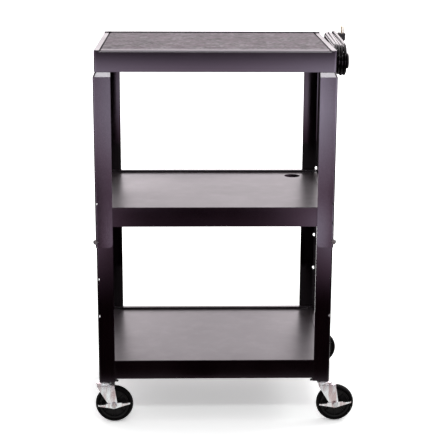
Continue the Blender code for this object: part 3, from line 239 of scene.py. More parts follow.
class Finish(Nodes):
    """One Principled material, built from texture nodes in the piece's own space."""

    def __init__(self, name, **sockets):
        self.material = bpy.data.materials.new(name)
        self.material.use_nodes = True
        super().__init__(self.material.node_tree, "Object")
        self.shader = self.tree.nodes["Principled BSDF"]
        for socket, value in sockets.items():
            self.shader.inputs[socket.replace("_", " ")].default_value = value

    def eased(self, radius):
        """A normal that rounds sharp edges to the eye."""
        wanted = {"Radius": radius}
        return self.add("ShaderNodeBevel", wanted, samples=4).outputs["Normal"]

    def feed(self, **sockets):
        """Link outputs to the shader and give the finished material."""
        for socket, value in sockets.items():
            self.tree.links.new(value, self.shader.inputs[socket.replace("_", " ")])
        return self.material


def rgb(red, green, blue):
    return (red, green, blue, 1.0)


def powder_coat(name, face=0.10, deck=0.34, gleam=0.75, toe=None, bow=None, groove=None, dish=None):
    """Satin black powder coat: fine peel, faint clouding, and dust and specks where it faces up.

    Face and deck are its roughness on upright and on level faces, and gleam its specular level.
    Toe turns the flanges of the left and right rear legs a little inward, as folded legs stand,
    and leaves their side faces matt.
    Bow is the height of a skirt's middle, and how much its sheet bulges there.
    Groove is where, across the cart, the strip beside the mat that is painted dark as shade and made matt
    begins and ends.
    Dish is the middle of a leg's front, and how hollow that front is; it is finely mottled too.
    """
    coat = Finish(name, Specular_IOR_Level=gleam, Specular_Tint=rgb(1.0, 0.97, 1.03))
    cloud = coat.span(coat.noise(7.0, 4.0), 0.35, 0.7, 0.0, 1.0)
    base = coat.mix(cloud, rgb(0.0022, 0.0004, 0.0010), rgb(0.0042, 0.0014, 0.0024))
    level = coat.upward(0.6, 0.95)
    specks = coat.span(coat.cells(420.0), 0.03, 0.10, 1.0, 0.0)
    settled = coat.product(coat.span(coat.noise(26.0, 5.0), 0.45, 0.75, 0.02, 0.14), level)
    dusted = coat.mix(settled, base, rgb(0.20, 0.18, 0.19))
    specked = coat.mix(coat.product(specks, settled), dusted, rgb(0.32, 0.30, 0.31))
    smudge = coat.span(coat.noise(4.5, 3.0), 0.35, 0.65, -0.02, 0.04)
    rough = coat.maths("ADD", coat.span(level, 0.0, 1.0, face, deck), smudge)
    peel = coat.maths("ADD", coat.noise(520.0, 2.0), coat.product(coat.noise(1500.0, 1.0), 0.35))
    normal = coat.bump(peel, 0.000022, 0.7, coat.eased(0.0007))
    if groove:
        # Painted shade: the strip beside the mat is darkened and made matt, where the groove lies in shade
        begins, ends = groove
        outward = coat.outward()
        groove_shade = coat.maths("LESS_THAN", outward, ends)
        groove_shade = coat.product(coat.maths("GREATER_THAN", outward, begins), groove_shade, level)
        rough = coat.maths("MAXIMUM", rough, groove_shade)
        specked = coat.mix(groove_shade, specked, rgb(0.0015, 0.0005, 0.0010))
    if dish:
        middle, hollow = dish
        off = coat.maths("SUBTRACT", coat.outward(), middle)
        normal = coat.bump(coat.product(off, off, hollow), 1.0, 1.0, normal)
        mottled = coat.span(coat.noise(240.0, 4.0), 0.42, 0.62, 0.0, 1.0)
        specked = coat.mix(mottled, specked, rgb(0.021, 0.017, 0.021))
    if bow:
        middle, bulge = bow
        height, = coat.axes("Z")
        off = coat.maths("SUBTRACT", height, middle)
        normal = coat.bump(coat.product(off, off, -bulge), 1.0, 1.0, normal)
    if toe:
        across, = coat.axes("X")
        turn = coat.span(across, -0.1, 0.1, *toe)
        normal = coat.bump(coat.product(coat.outward(), turn), 1.0, 1.0, normal)
        sideways = coat.span(coat.maths("ABSOLUTE", coat.facing("X")), 0.5, 0.8, 0.0, 0.9)
        rough = coat.maths("MAXIMUM", rough, sideways)
    return coat.feed(Base_Color=specked, Roughness=rough, Normal=normal)


def zinc_plate(name, roughness=0.20, tone=0.72):
    """Bright zinc plating: upright bluish and rosy streaks, dull spots and fine rolling lines."""
    zinc = Finish(name, Metallic=1.0)
    cloud = zinc.span(zinc.noise(95.0, 4.0, (1.0, 1.0, 0.22)), 0.38, 0.62, 0.0, 1.0)
    bluish = rgb(tone * 1.05, tone * 1.10, tone * 1.12)
    rosy = rgb(tone * 0.74, tone * 0.62, tone * 0.62)
    base = zinc.mix(cloud, bluish, rosy)
    spots = zinc.span(zinc.noise(240.0, 3.0), 0.62, 0.74, 0.0, 0.35)
    stained = zinc.mix(spots, base, rgb(tone * 0.55, tone * 0.53, tone * 0.50))
    rough = zinc.span(zinc.noise(130.0, 4.0), 0.3, 0.7, roughness - 0.05, roughness + 0.10)
    lines = zinc.noise(260.0, 2.0, (1.0, 0.15, 3.0))
    normal = zinc.bump(lines, 0.00005, 0.5, zinc.eased(0.0006))
    return zinc.feed(Base_Color=stained, Roughness=rough, Normal=normal)


def moulded_plastic(name, colour, roughness=0.42, grain=900.0, depth=0.00005, gleam=0.5):
    """Moulded plastic with a fine spark-eroded grain and slight shade changes."""
    plastic = Finish(name, Specular_IOR_Level=gleam)
    lighter = rgb(*(c * 1.7 + 0.004 for c in colour))
    cloud = plastic.span(plastic.noise(30.0, 4.0), 0.35, 0.7, 0.0, 1.0)
    base = plastic.mix(cloud, rgb(*colour), lighter)
    rough = plastic.span(plastic.noise(75.0, 3.0), 0.3, 0.7, roughness - 0.05, roughness + 0.08)
    normal = plastic.bump(plastic.noise(grain, 2.0), depth, 0.8, plastic.eased(0.0008))
    return plastic.feed(Base_Color=base, Roughness=rough, Normal=normal)


def mat_rubber(name):
    """Rubber mat with a pebbled face, mottled and scuffed, with a painted highlight along its front edge."""
    rubber = Finish(name, Specular_IOR_Level=0.10)
    broad = rubber.span(rubber.noise(5.0, 4.0), 0.40, 0.60, 0.0, 1.0)
    scuffs = rubber.span(rubber.noise(100.0, 3.0, (1.0, 0.55, 1.0)), 0.42, 0.58, 0.0, 1.0)
    streaks = rubber.span(rubber.noise(28.0, 5.0, (1.0, 0.70, 1.0)), 0.43, 0.57, 0.0, 1.0)
    parts = (rubber.product(broad, 0.22), rubber.product(streaks, 0.33), rubber.product(scuffs, 0.45))
    patches = rubber.maths("ADD", rubber.maths("ADD", parts[0], parts[1]), parts[2])
    base = rubber.mix(patches, rgb(0.005, 0.004, 0.005), rgb(0.31, 0.293, 0.305))
    blush = rubber.span(rubber.noise(21.0, 3.0), 0.42, 0.62, 0.0, 0.6)
    rosy = rubber.mix(blush, base, rgb(0.16, 0.122, 0.145))
    pebbles = rubber.cells(260.0)
    tips = rubber.span(pebbles, 0.0, 0.45, 0.40, 0.0)
    wear_and_edge_highlight = rubber.mix(tips, rosy, rgb(0.15, 0.14, 0.15))
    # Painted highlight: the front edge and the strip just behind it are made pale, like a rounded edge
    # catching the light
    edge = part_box("top_mat")[0].y
    along, = rubber.axes("Y")
    front_edge_highlight = rubber.span(along, edge + 0.010, edge + 0.050, 0.30, 0.0)
    front_edge_highlight = rubber.maths("MAXIMUM", front_edge_highlight, rubber.maths("LESS_THAN", along, edge + 0.006))
    wear_and_edge_highlight = rubber.mix(front_edge_highlight, wear_and_edge_highlight, rgb(0.62, 0.58, 0.62))
    rough = rubber.span(patches, 0.0, 1.0, 0.55, 0.85)
    grain = rubber.product(rubber.noise(900.0, 2.0), 0.3)
    height = rubber.maths("ADD", rubber.span(pebbles, 0.0, 0.7, 1.0, 0.0), grain)
    normal = rubber.bump(height, 0.00022, 0.8)
    return rubber.feed(Base_Color=wear_and_edge_highlight, Roughness=rough, Normal=normal)


def tyre_rubber(name):
    """Black wheel rubber: matt, with a dusty scuffed tread."""
    rubber = Finish(name, Specular_IOR_Level=0.04)
    patches = rubber.span(rubber.noise(70.0, 5.0), 0.38, 0.7, 0.0, 1.0)
    base = rubber.mix(patches, rgb(0.0014, 0.0010, 0.0012), rgb(0.0034, 0.0030, 0.0034))
    scuffs = rubber.span(rubber.noise(300.0, 3.0, (1.0, 0.3, 1.0)), 0.60, 0.75, 0.0, 0.5)
    scuffed = rubber.mix(scuffs, base, rgb(0.022, 0.020, 0.021))
    rough = rubber.span(patches, 0.0, 1.0, 0.50, 0.64)
    normal = rubber.bump(rubber.noise(800.0, 3.0), 0.00006, 0.8)
    return rubber.feed(Base_Color=scuffed, Roughness=rough, Normal=normal)


def cord_jacket(name):
    """Smooth vinyl jacket with a wet-looking sheen and a trace of handling marks."""
    vinyl = Finish(name, Specular_IOR_Level=0.10, Coat_Weight=0.30, Coat_Roughness=0.06, Coat_IOR=1.45)
    patches = vinyl.span(vinyl.noise(45.0, 4.0), 0.38, 0.7, 0.0, 1.0)
    base = vinyl.mix(patches, rgb(0.0020, 0.0018, 0.0022), rgb(0.0055, 0.0050, 0.0058))
    rough = vinyl.span(vinyl.noise(150.0, 3.0), 0.3, 0.7, 0.18, 0.30)
    normal = vinyl.bump(vinyl.noise(1100.0, 2.0), 0.00002, 0.6)
    return vinyl.feed(Base_Color=base, Roughness=rough, Normal=normal)


def brass_blade(name):
    """Drawn brass with lengthwise marks."""
    metal = Finish(name, Metallic=1.0)
    marks = metal.span(metal.noise(400.0, 3.0, (1.0, 1.0, 0.1)), 0.35, 0.7, 0.0, 1.0)
    base = metal.mix(marks, rgb(0.70, 0.62, 0.42), rgb(0.52, 0.45, 0.30))
    rough = metal.span(marks, 0.0, 1.0, 0.22, 0.38)
    return metal.feed(Base_Color=base, Roughness=rough)


COAT = {
    "plate": powder_coat("coat_plate"),
    "front_leg": powder_coat("coat_front_leg", dish=(0.2920, 0.9)),
    "lower_leg": powder_coat("coat_lower_leg", gleam=0.60),
    "top": powder_coat("coat_top", deck=0.30, bow=(0.9710, 0.35), groove=(0.2895, 0.2935)),
    "middle": powder_coat("coat_middle", bow=(0.5675, 0.20)),
    "bottom": powder_coat("coat_bottom", bow=(0.1467, 0.10)),
    "rear_leg": powder_coat("coat_rear_leg", face=0.05, gleam=0.50, toe=(0.041, 0.064)),
}
ZINC = zinc_plate("zinc")
DARK_ZINC = zinc_plate("zinc_pin", 0.26, 0.50)
MAT = mat_rubber("mat_face")
HOUSING = moulded_plastic("housing_plastic", (0.010, 0.0095, 0.0100))
INSERT = moulded_plastic("insert_plastic", (0.020, 0.018, 0.018), 0.34, 1400.0, 0.00003)
HUB = moulded_plastic("hub_plastic", (0.0022, 0.0020, 0.0022), 0.40, 1100.0, 0.00005, 0.16)
TYRE = tyre_rubber("tyre_face")
JACKET = cord_jacket("cord_jacket")
PLUG = moulded_plastic("plug_vinyl", (0.010, 0.009, 0.010), 0.40, 1000.0)
BRASS = brass_blade("brass")


def add_object(name, data):
    """A new object of the scene from its mesh, curve, lamp or camera."""
    item = bpy.data.objects.new(name, data)
    bpy.context.scene.collection.objects.link(item)
    return item


def show(name, mesh_data, finish, body, replaced=(), angle=38):
    """A new piece from a bmesh in the cart's own frame: smooth, finished and riding on its body."""
    bmesh.ops.recalc_face_normals(mesh_data, faces=mesh_data.faces)
    bmesh.ops.transform(mesh_data, matrix=PLACE, verts=mesh_data.verts)
    mesh = bpy.data.meshes.new(name)
    mesh_data.to_mesh(mesh)
    mesh_data.free()
    mesh.shade_smooth()
    mesh.set_sharp_from_angle(angle=math.radians(angle))
    mesh.materials.append(finish)
    item = add_object(name, mesh)
    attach(item, body)
    if replaced:
        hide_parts(*replaced)
    return item


def lathe(mesh_data, profile, segments, place=None):
    """Turn a closed profile of (radius, height) about Z; a radius of 0 lies on the axis."""
    rows = []
    for radius, height in profile:
        turn = [2 * math.pi * i / segments for i in range(segments)] if radius else [0]
        rows.append([mesh_data.verts.new((radius * math.cos(a), radius * math.sin(a), height)) for a in turn])
    closed = all(radius for radius, height in profile)
    for lower, upper in zip(rows, rows[1:] + (rows[:1] if closed else [])):
        for i in range(segments):
            around = ((lower, i), (lower, i + 1), (upper, i + 1), (upper, i))
            corners = [row[k % len(row)] for row, k in around]
            ring = [v for k, v in enumerate(corners) if v not in corners[:k]]
            if len(ring) > 2:
                mesh_data.faces.new(ring)
    if place:
        bmesh.ops.transform(mesh_data, matrix=place, verts=[v for row in rows for v in row])


def loft(mesh_data, rings):
    """A closed skin over rings of equally many points, capped at both ends."""
    rows = [[mesh_data.verts.new(point) for point in ring] for ring in rings]
    count = len(rows[0])
    for lower, upper in zip(rows, rows[1:]):
        for i in range(count):
            j = (i + 1) % count
            mesh_data.faces.new((lower[i], lower[j], upper[j], upper[i]))
    mesh_data.faces.new(list(reversed(rows[0])))
    mesh_data.faces.new(rows[-1])


def arc(centre_u, centre_v, radius, start, end, steps):
    """Points of an arc between two angles in degrees."""
    turn = [math.radians(start + (end - start) * i / steps) for i in range(steps + 1)]
    return [(centre_u + radius * math.cos(a), centre_v + radius * math.sin(a)) for a in turn]


def rounded_rectangle(half_u, half_v, radius, steps):
    """Points round a rectangle whose corners are arcs."""
    points = []
    for su, sv, start in ((1, 1, 0), (-1, 1, 90), (-1, -1, 180), (1, -1, 270)):
        points += arc(su * (half_u - radius), sv * (half_v - radius), radius, start, start + 90, steps)
    return points


def along_y(x, y, z):
    """Placement of a turned piece whose axis runs along Y."""
    return Matrix.Translation((x, y, z)) @ Matrix.Rotation(-math.pi / 2, 4, "X")


def loop_point(turns):
    """The wound cord's centre after a number of turns, as the source winds it."""
    layer = min(int(turns / LOOPS_PER_LAYER), CORD_LAYERS - 1)
    within = turns - layer * LOOPS_PER_LAYER
    if layer % 2:
        within = LOOPS_PER_LAYER - within
    radius = LOOP_INNER_RADIUS + CORD_PITCH * within
    x = LAYER_ONE_X
    for reversal in range(1, CORD_LAYERS):
        climb = 2 * (turns - reversal * LOOPS_PER_LAYER) + 0.5
        x += CORD_PITCH * min(max(climb, 0), 1)
    run, quarter = int(turns % 1 * 4), turns % 1 * 4 % 1
    angle = math.pi * quarter
    if run == 0:
        y, rise = LOOP_REAR_Y + (LOOP_FRONT_Y - LOOP_REAR_Y) * quarter, 1
    elif run == 1:
        y, rise = LOOP_FRONT_Y - radius * math.sin(angle), math.cos(angle)
    elif run == 2:
        y, rise = LOOP_FRONT_Y + (LOOP_REAR_Y - LOOP_FRONT_Y) * quarter, -1
    else:
        y, rise = LOOP_REAR_Y + radius * math.sin(angle), -math.cos(angle)
    rearward = min(max((y - LOOP_FRONT_Y) / (LOOP_REAR_Y - LOOP_FRONT_Y), 0), 1)
    lift = HANK_RISE_REAR * rearward * (1 + rise) / 2
    return Vector((x, y, HOUSING_Z + radius * rise + lift))


def cord_route():
    """The whole cord: out of the relief, over to the loops, round them and up to the plug."""
    diameter = 2 * CORD_RADIUS
    start = Vector((LAYER_ONE_X, RELIEF_FOOT_Y + RELIEF_LENGTH + CLEARANCE, HOUSING_Z))
    rise = loop_point(0).z - HOUSING_Z
    turn = arc(start.y + diameter, HOUSING_Z + rise / 2, rise / 2, -90, 90, 12)
    route = [start] + [Vector((LAYER_ONE_X, y, z)) for y, z in turn]
    total = CORD_LAYERS * LOOPS_PER_LAYER
    # Points of each quarter of a loop, along a straight run or round an end
    runs = ((0, 8), (1, 20), (2, 8), (3, 20))
    loops = range(math.ceil(total))
    phases = [n + (run + i / steps) / 4 for n in loops for run, steps in runs for i in range(steps)]
    last, least_step = loop_point(total), 0.004
    route += [loop_point(turns) for turns in phases if turns < total - least_step] + [last]
    across, along = PLUG_X - last.x, PLUG_Y - last.y
    up = PLUG_BASE - PLUG_NECK_HEIGHT - CLEARANCE - last.z
    shares = ((0, 0.12, 0), (0.35, 0.36, 0), (0.90, 0.66, 0.02), (1, 0.93, 0.24), (1, 1, 0.62), (1, 1, 1))
    route += [last + Vector((across * u, along * v, up * w)) for u, v, w in shares]
    return route


def even_steps(route, spacing):
    """Points at even steps along the smooth curve through a route's points."""
    knots = [2 * route[0] - route[1], *route, 2 * route[-1] - route[-2]]
    dense = []
    for before, start, end, after in zip(knots, knots[1:], knots[2:], knots[3:]):
        for t in (0, 0.25, 0.5, 0.75):
            bend = (2 * before - 5 * start + 4 * end - after) * t ** 2
            twist = (3 * start - before - 3 * end + after) * t ** 3
            dense.append((2 * start + (end - before) * t + bend + twist) / 2)
    dense.append(route[-1])
    found, carried = [dense[0]], 0.0
    for start, end in zip(dense, dense[1:]):
        carried += (end - start).length
        if carried >= spacing:
            found.append(end)
            carried = 0.0
    found[-1] = dense[-1]
    return found


def power_cord():
    """The cord as one smooth tube, with its plug on the end."""
    points = [PLACE @ point for point in even_steps(cord_route(), CORD_STEP)]
    curve = bpy.data.curves.new("power_cord", "CURVE")
    curve.dimensions = "3D"
    curve.bevel_depth = CORD_RADIUS
    curve.bevel_resolution = 5
    curve.use_fill_caps = True
    spline = curve.splines.new("POLY")
    spline.points.add(len(points) - 1)
    for place, point in zip(spline.points, points):
        place.co = (*point, 1)
    curve.materials.append(JACKET)
    cord = add_object("power_cord", curve)
    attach(cord, "upper_frame")
    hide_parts("power_cord_lead", "power_cord_hank", "power_cord_tail")
    pieces = plug()


def plug():
    """A moulded plug: ribbed neck, rounded shoulders and a gripped body, with brass blades."""
    neck, wide, thick = 0.0060, PLUG_HALF_WIDTH, PLUG_HALF_THICKNESS
    foot, groove, grip = PLUG_BASE - PLUG_NECK_HEIGHT, neck * 0.86, 0.0006
    # Each section has a height, half sizes along Y and X, and how round its corners are
    sections = []
    for i in range(4):
        z = foot + i * 0.0018
        sections += [(z, groove, groove, 1), (z + 0.0003, neck, neck, 1)]
        sections += [(z + 0.0010, neck, neck, 1), (z + 0.0013, groove, groove, 1)]
    for share, spread in ((0.10, 0.10), (0.18, 0.32), (0.26, 0.62), (0.33, 0.86), (0.40, 1.0)):
        half_y, half_x = neck + (wide - neck) * spread, neck + (thick - neck) * spread
        sections.append((PLUG_BASE + PLUG_HEIGHT * share, half_y, half_x, 1 - 0.45 * spread))
    for i in range(4):
        z = PLUG_BASE + PLUG_HEIGHT * (0.47 + i * 0.085)
        sections += [(z, wide, thick, 0.55), (z + 0.0004, wide - grip, thick - grip, 0.55)]
        sections += [(z + 0.0012, wide - grip, thick - grip, 0.55), (z + 0.0016, wide, thick, 0.55)]
    top = PLUG_BASE + PLUG_HEIGHT
    sections += [(top - 0.0015, wide, thick, 0.55), (top - 0.0005, wide - 0.0005, thick - 0.0005, 0.53)]
    sections.append((top, wide - 0.0016, thick - 0.0016, 0.50))
    body = bmesh.new()
    rings = []
    for z, half_y, half_x, share in sections:
        ring = rounded_rectangle(half_x, half_y, min(half_x, half_y) * share * 0.999, 6)
        rings.append([(PLUG_X + u, PLUG_Y + v, z) for u, v in ring])
    loft(body, rings)
    made = show("plug_body", body, PLUG, "upper_frame", ["plug"])
    # Two flat blades and a round ground pin, all rooted a little way inside the body
    blades = bmesh.new()
    root, half_gap, half_thick, half_wide, edge = top - 0.002, 0.00635, 0.00075, 0.00315, 0.0003
    for side in (-1, 1):
        x, y = PLUG_X + side * half_gap, PLUG_Y + 0.0035
        rings = []
        for z, draw in ((root, 0), (top + 0.0160, 0), (top + 0.0175, 0.0009)):
            ring = rounded_rectangle(half_thick - draw / 4, half_wide - draw, edge, 2)
            rings.append([(x + u, y + v, z) for u, v in ring])
        loft(blades, rings)
    pin = [(0, root), (0.0024, root), (0.0024, top + 0.0176)]
    pin += [(0.0021, top + 0.0189), (0.0012, top + 0.0198), (0, top + 0.0200)]
    lathe(blades, pin, 24, Matrix.Translation((PLUG_X, PLUG_Y - 0.007, 0)))
    return [made, show("plug_blades", blades, BRASS, "upper_frame")]


def strain_relief():
    """A tapered bush with flexing ribs where the cord leaves the housing."""
    profile = [(0, 0), (0.0059, 0), (0.00625, 0.0004), (0.00625, 0.0021), (0.0059, 0.0025)]
    for i in range(4):
        y, radius = 0.0029 + i * 0.0026, 0.0056 - i * 0.0002
        valley = radius - 0.0008
        profile += [(valley, y), (radius, y + 0.0004), (radius, y + 0.0015), (valley, y + 0.0019)]
    profile += [(0.0046, RELIEF_LENGTH - 0.0004), (0.0044, RELIEF_LENGTH), (0, RELIEF_LENGTH)]
    bush = bmesh.new()
    lathe(bush, profile, 32, along_y(LAYER_ONE_X, RELIEF_FOOT_Y, HOUSING_Z))
    show("relief_bush", bush, PLUG, "upper_frame", ["cord_strain_relief"])


def tyre(corner, centre):
    """A crowned tread with rounded shoulders, a moulding line and a ring on each side wall."""
    half, crown = TYRE_HALF, WHEEL_RADIUS
    seat = HUB_RADIUS + CLEARANCE
    upper = [(seat, half - 0.0006), (seat + 0.0005, half), (seat + 0.0028, half)]
    upper += [(seat + 0.0032, half - 0.0005), (seat + 0.0038, half - 0.0005)]
    upper.append((seat + 0.0042, half - 0.0001))
    shoulder = 0.0056
    for u, v in arc(half - shoulder, crown - 0.0020 - shoulder, shoulder, 0, 78, 7):
        upper.append((v, u))
    upper += [(crown - 0.0010, half * 0.36), (crown - 0.0003, half * 0.16), (crown, 0.0004)]
    lower = [(radius, -y) for radius, y in reversed(upper)]
    rubber = bmesh.new()
    lathe(rubber, upper + lower, 96, along_y(*centre))
    show("tyre_" + corner + "_tread", rubber, TYRE, "wheel_" + corner, ["tyre_" + corner])


def hub(corner, centre):
    """A wheel body with a seated rim, a dished web with ribs and a stepped boss."""
    side = [(0.0043, HUB_BOSS_HALF), (0.0085, HUB_BOSS_HALF), (0.0092, HUB_BOSS_HALF - 0.0006)]
    side += [(0.0126, HUB_BOSS_HALF - 0.0014), (0.0130, HUB_BOSS_HALF - 0.0024), (0.0134, 0.0052)]
    side += [(0.0145, 0.0040), (0.0200, 0.0035), (0.0312, 0.0035), (0.0335, 0.0042), (0.0345, 0.0060)]
    side += [(0.0348, HUB_HALF - 0.0006), (0.0354, HUB_HALF), (HUB_RADIUS - 0.0004, HUB_HALF)]
    side.append((HUB_RADIUS, HUB_HALF - 0.0004))
    body = bmesh.new()
    lathe(body, [(r, -y) for r, y in side] + list(reversed(side)), 72, along_y(*centre))
    # Ribs from the boss to the rim on both faces, each rooted in the web
    ribs, foot, half_foot, half_crest = 8, 0.0028, 0.0011, 0.0008
    for i in range(ribs):
        place = Matrix.Translation(centre) @ Matrix.Rotation(2 * math.pi * i / ribs, 4, "Y")
        for face in (-1, 1):
            rings = []
            for radius, height in ((0.0128, 0.0086), (0.0230, 0.0070), (0.0353, 0.0098)):
                ring = [(-half_foot, foot), (half_foot, foot)]
                ring += [(half_crest, height), (-half_crest, height)]
                rings.append([place @ Vector((u, face * v, radius)) for u, v in ring])
            loft(body, rings)
    show("hub_" + corner + "_body", body, HUB, "wheel_" + corner, ["hub_" + corner])


def raceway(corner, x, y):
    """Two pressed cups with the ball gap between them and a rolled lip on each."""
    base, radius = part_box("raceway_" + corner)[1].z - RACEWAY_HEIGHT, RACEWAY_RADIUS
    outline = [(RACEWAY_BORE, 0), (0.90 * radius, 0), (0.955 * radius, 0.0005), (0.99 * radius, 0.0014)]
    outline += [(radius, 0.0026), (0.985 * radius, 0.0034), (0.93 * radius, 0.0036), (0.93 * radius, 0.0040)]
    outline += [(0.985 * radius, 0.0042), (radius, 0.0049), (0.97 * radius, 0.0058), (0.90 * radius, 0.0066)]
    outline += [(0.80 * radius, 0.0074), (0.70 * radius, 0.0081), (0.60 * radius, RACEWAY_HEIGHT)]
    outline.append((RACEWAY_BORE, RACEWAY_HEIGHT))
    race = bmesh.new()
    lathe(race, outline, 64, Matrix.Translation((x, y, base)))
    show("raceway_" + corner + "_cups", race, ZINC, "lower_frame", ["raceway_" + corner])


def mat_pad():
    """The rubber mat with rounded edges and corners, lying on the top deck."""
    low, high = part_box("top_mat")
    centre, half = (low + high) / 2, (high - low) / 2
    thickness, soft, gap, corner = high.z - low.z, 0.0012, 0.0016, 0.008
    edge = [(soft - u, thickness - soft + v) for u, v in arc(0, 0, soft, 0, 90, 5)]
    rings = []
    for draw, z in [(0.0006, 0)] + edge:
        ring = rounded_rectangle(half.x - gap - draw, half.y - gap - draw, corner - draw, 8)
        rings.append([(centre.x - CART_SHIFT + u, centre.y + v, low.z + z) for u, v in ring])
    pad = bmesh.new()
    loft(pad, rings)
    show("mat_pad", pad, MAT, "upper_frame", ["top_mat"])


def paint_nodes():
    """Finishes of the CAD nodes that stay."""
    wanted = (
        (("top_shelf",), COAT["top"]),
        (("middle_shelf",), COAT["middle"]),
        (("bottom_shelf",), COAT["bottom"]),
        (("lower_leg_front",), COAT["lower_leg"]),
        (("upper_leg_front",), COAT["front_leg"]),
        (("lower_leg_rear", "upper_leg_rear"), COAT["rear_leg"]),
        (("corner_plate",), COAT["plate"]),
        (("outlet_housing", "cord_hook"), HOUSING),
        (("receptacle",), INSERT),
        (("fork", "brake_lever"), ZINC),
        (("kingpin", "axle", "housing_screw", "height_bolt"), DARK_ZINC),
    )
    for name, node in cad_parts.items():
        for starts, finish in wanted:
            if name.startswith(starts):
                node.data.materials.clear()
                node.data.materials.append(finish)


def casters():
    """Tread, wheel body and raceway of each of the four casters, which trail to the right."""
    for corner, sx, sy in CORNERS:
        x, y = sx * STEM_X, sy * STEM_Y
        centre = (x + TRAIL, y, WHEEL_RADIUS)
        tyre(corner, centre)
        hub(corner, centre)
        raceway(corner, x, y)


def studio():
    """A white floor that keeps the cart's shadow, a pale surround and soft lamps."""
    bpy.context.scene.view_settings.view_transform = "Standard"
    studio_floor()
    surround()
    for settings in LAMPS:
        lamp(*settings)


def studio_floor():
    """A floor that the camera sees white, with the cart's shadow, and gloss sees in soft levels."""
    mesh = bpy.data.meshes.new("floor")
    reach = FLOOR_REACH
    corners = [(-reach, -reach, 0), (reach, -reach, 0), (reach, reach, 0), (-reach, reach, 0)]
    mesh.from_pydata(corners, [], [(0, 1, 2, 3)])
    floor = add_object("floor", mesh)
    paint = Finish("floor")
    across, along = paint.axes("X", "Y")
    squares = paint.maths("ADD", paint.product(across, across), paint.product(along, along))
    away = paint.maths("SQRT", squares)
    lift = paint.span(away, FLOOR_LIFT_FROM, FLOOR_LIFT_TO, FLOOR_LIFT, 1.0)
    lit = paint.add("ShaderNodeBsdfDiffuse", {"Color": FLOOR_TONE}).outputs[0]
    white = paint.add("ShaderNodeEmission", {"Strength": lift}).outputs[0]
    seen = paint.add("ShaderNodeAddShader", {0: lit, 1: white}).outputs[0]
    bounced = paint.add("ShaderNodeBsdfDiffuse", {"Color": FLOOR_BOUNCE}).outputs[0]
    ahead = paint.product(along, -1.0)
    far = paint.span(ahead, MIRRORED_FAR_FROM, MIRRORED_FAR_TO, 0.0, 1.0)
    near_across = paint.steps(across, -MIRRORED_HALF, MIRRORED_HALF, MIRRORED_NEAR)
    near_across = paint.maths("ADD", near_across, paint.span(ahead, 2.0, 2.85, 0.085, 0.0))
    far_across = paint.steps(across, -MIRRORED_HALF, MIRRORED_HALF, MIRRORED_FAR)
    sideways = paint.mix(far, near_across, far_across)
    # Under and right beside the cart the floor has a level of its own
    before, behind = paint.span(ahead, 0.48, 0.56, 1.0, 0.0), paint.span(ahead, -0.9, -0.5, 0.0, 1.0)
    close = paint.product(before, behind)
    beside = paint.span(paint.maths("ABSOLUTE", across), 0.45, 0.75, 0.33, 0.07)
    level = paint.product(paint.steps(ahead, 0.0, MIRRORED_DEPTH, MIRRORED_FLOOR), sideways)
    level = paint.mix(close, level, beside)
    tinted = paint.mix(paint.span(level, 0.2, 0.9, 0.0, 1.0), MIRRORED_DIM, MIRRORED_BRIGHT)
    tinted = paint.mix(paint.span(ahead, 5.5, 8.5, 0.0, 0.8), tinted, MIRRORED_DISTANT)
    tint = paint.mix(close, tinted, MIRRORED_CLOSE)
    strength = paint.product(level, MIRRORED_GAIN)
    mirrored = paint.add("ShaderNodeEmission", {"Color": tint, "Strength": strength}).outputs[0]
    path = paint.add("ShaderNodeLightPath").outputs
    glossy = paint.add("ShaderNodeMixShader", {0: path["Is Glossy Ray"], 1: bounced, 2: mirrored}).outputs[0]
    chosen = paint.add("ShaderNodeMixShader", {0: path["Is Camera Ray"], 1: glossy, 2: seen}).outputs[0]
    paint.link(chosen, "Material Output", "Surface")
    paint.tree.nodes.remove(paint.shader)
    mesh.materials.append(paint.material)


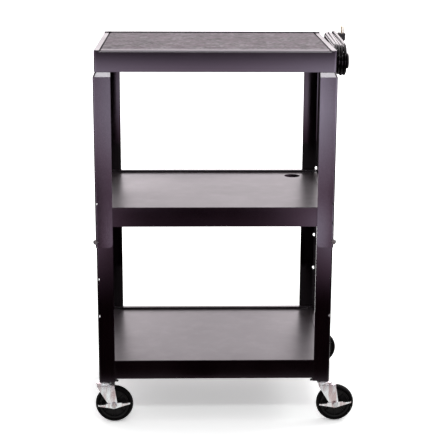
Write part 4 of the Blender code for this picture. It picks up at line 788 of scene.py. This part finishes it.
def surround():
    """A world that the camera sees white, and gloss and soft light see in soft levels."""
    world = bpy.data.worlds.new("studio")
    bpy.context.scene.world = world
    world.use_nodes = True
    sky = Nodes(world.node_tree, "Generated")
    sideways, toward_back, upward = sky.axes("X", "Y", "Z")
    low = sky.steps(upward, 0.0, 1.0, SKY_RISE)
    aside = sky.maths("ABSOLUTE", sky.maths("SUBTRACT", sideways, SKY_MIDDLE))
    raised = sky.span(upward, SKY_SIDES_FROM, SKY_SIDES_TO, 0.0, 1.0)
    sides = sky.mix(raised, rgb(1, 1, 1), sky.steps(aside, 0.0, 1.0, SKY_SIDES))
    # In front of the cart, behind the camera, the surround is dim, above all low down
    front = sky.span(upward, 0.10, 0.45, 0.10, 0.40)
    behind = sky.span(toward_back, -0.5, 0.1, 0.0, 1.0)
    behind = sky.maths("ADD", behind, sky.product(front, sky.maths("SUBTRACT", 1.0, behind)))
    path = sky.add("ShaderNodeLightPath").outputs
    tint = sky.mix(path["Is Camera Ray"], SKY_TINT, rgb(1, 1, 1))
    soft = sky.span(path["Is Diffuse Ray"], 0.0, 1.0, SKY_GAIN, SKY_GAIN * SKY_SOFT_SHARE)
    strength = sky.maths("MAXIMUM", path["Is Camera Ray"], sky.product(low, soft, sides, behind))
    sky.link(tint, "Background", "Color")
    sky.link(strength, "Background", "Strength")


def lamp(name, place, target, size, power):
    """A rectangular area lamp aimed at its target, which the camera doesn't see."""
    data = bpy.data.lights.new(name, "AREA")
    data.shape = "RECTANGLE"
    data.size, data.size_y = size
    data.energy = power
    item = add_object(name, data)
    item.location = place
    item.rotation_euler = (Vector(target) - Vector(place)).to_track_quat("-Z", "Y").to_euler()
    item.visible_camera = False


def camera():
    """The camera at the photograph's viewing angle."""
    yaw, pitch, roll = CAMERA_YAW, CAMERA_PITCH, CAMERA_ROLL
    flat = math.cos(pitch)
    ahead = Vector((math.sin(yaw) * flat, math.cos(yaw) * flat, -math.sin(pitch)))
    level = Vector((math.cos(yaw), -math.sin(yaw), 0))
    above = level.cross(ahead)
    right = level * math.cos(roll) + above * math.sin(roll)
    up = above * math.cos(roll) - level * math.sin(roll)
    data = bpy.data.cameras.new("camera")
    data.lens = CAMERA_LENS
    data.sensor_width = CAMERA_SENSOR
    data.shift_x = data.shift_y = CAMERA_SHIFT
    item = add_object("camera", data)
    turn = Matrix((right, up, -ahead)).transposed().to_4x4()
    item.matrix_world = Matrix.Translation(CAMERA_PLACE) @ turn
    bpy.context.scene.camera = item


camera()
studio()
paint_nodes()
power_cord()
strain_relief()
mat_pad()
casters()
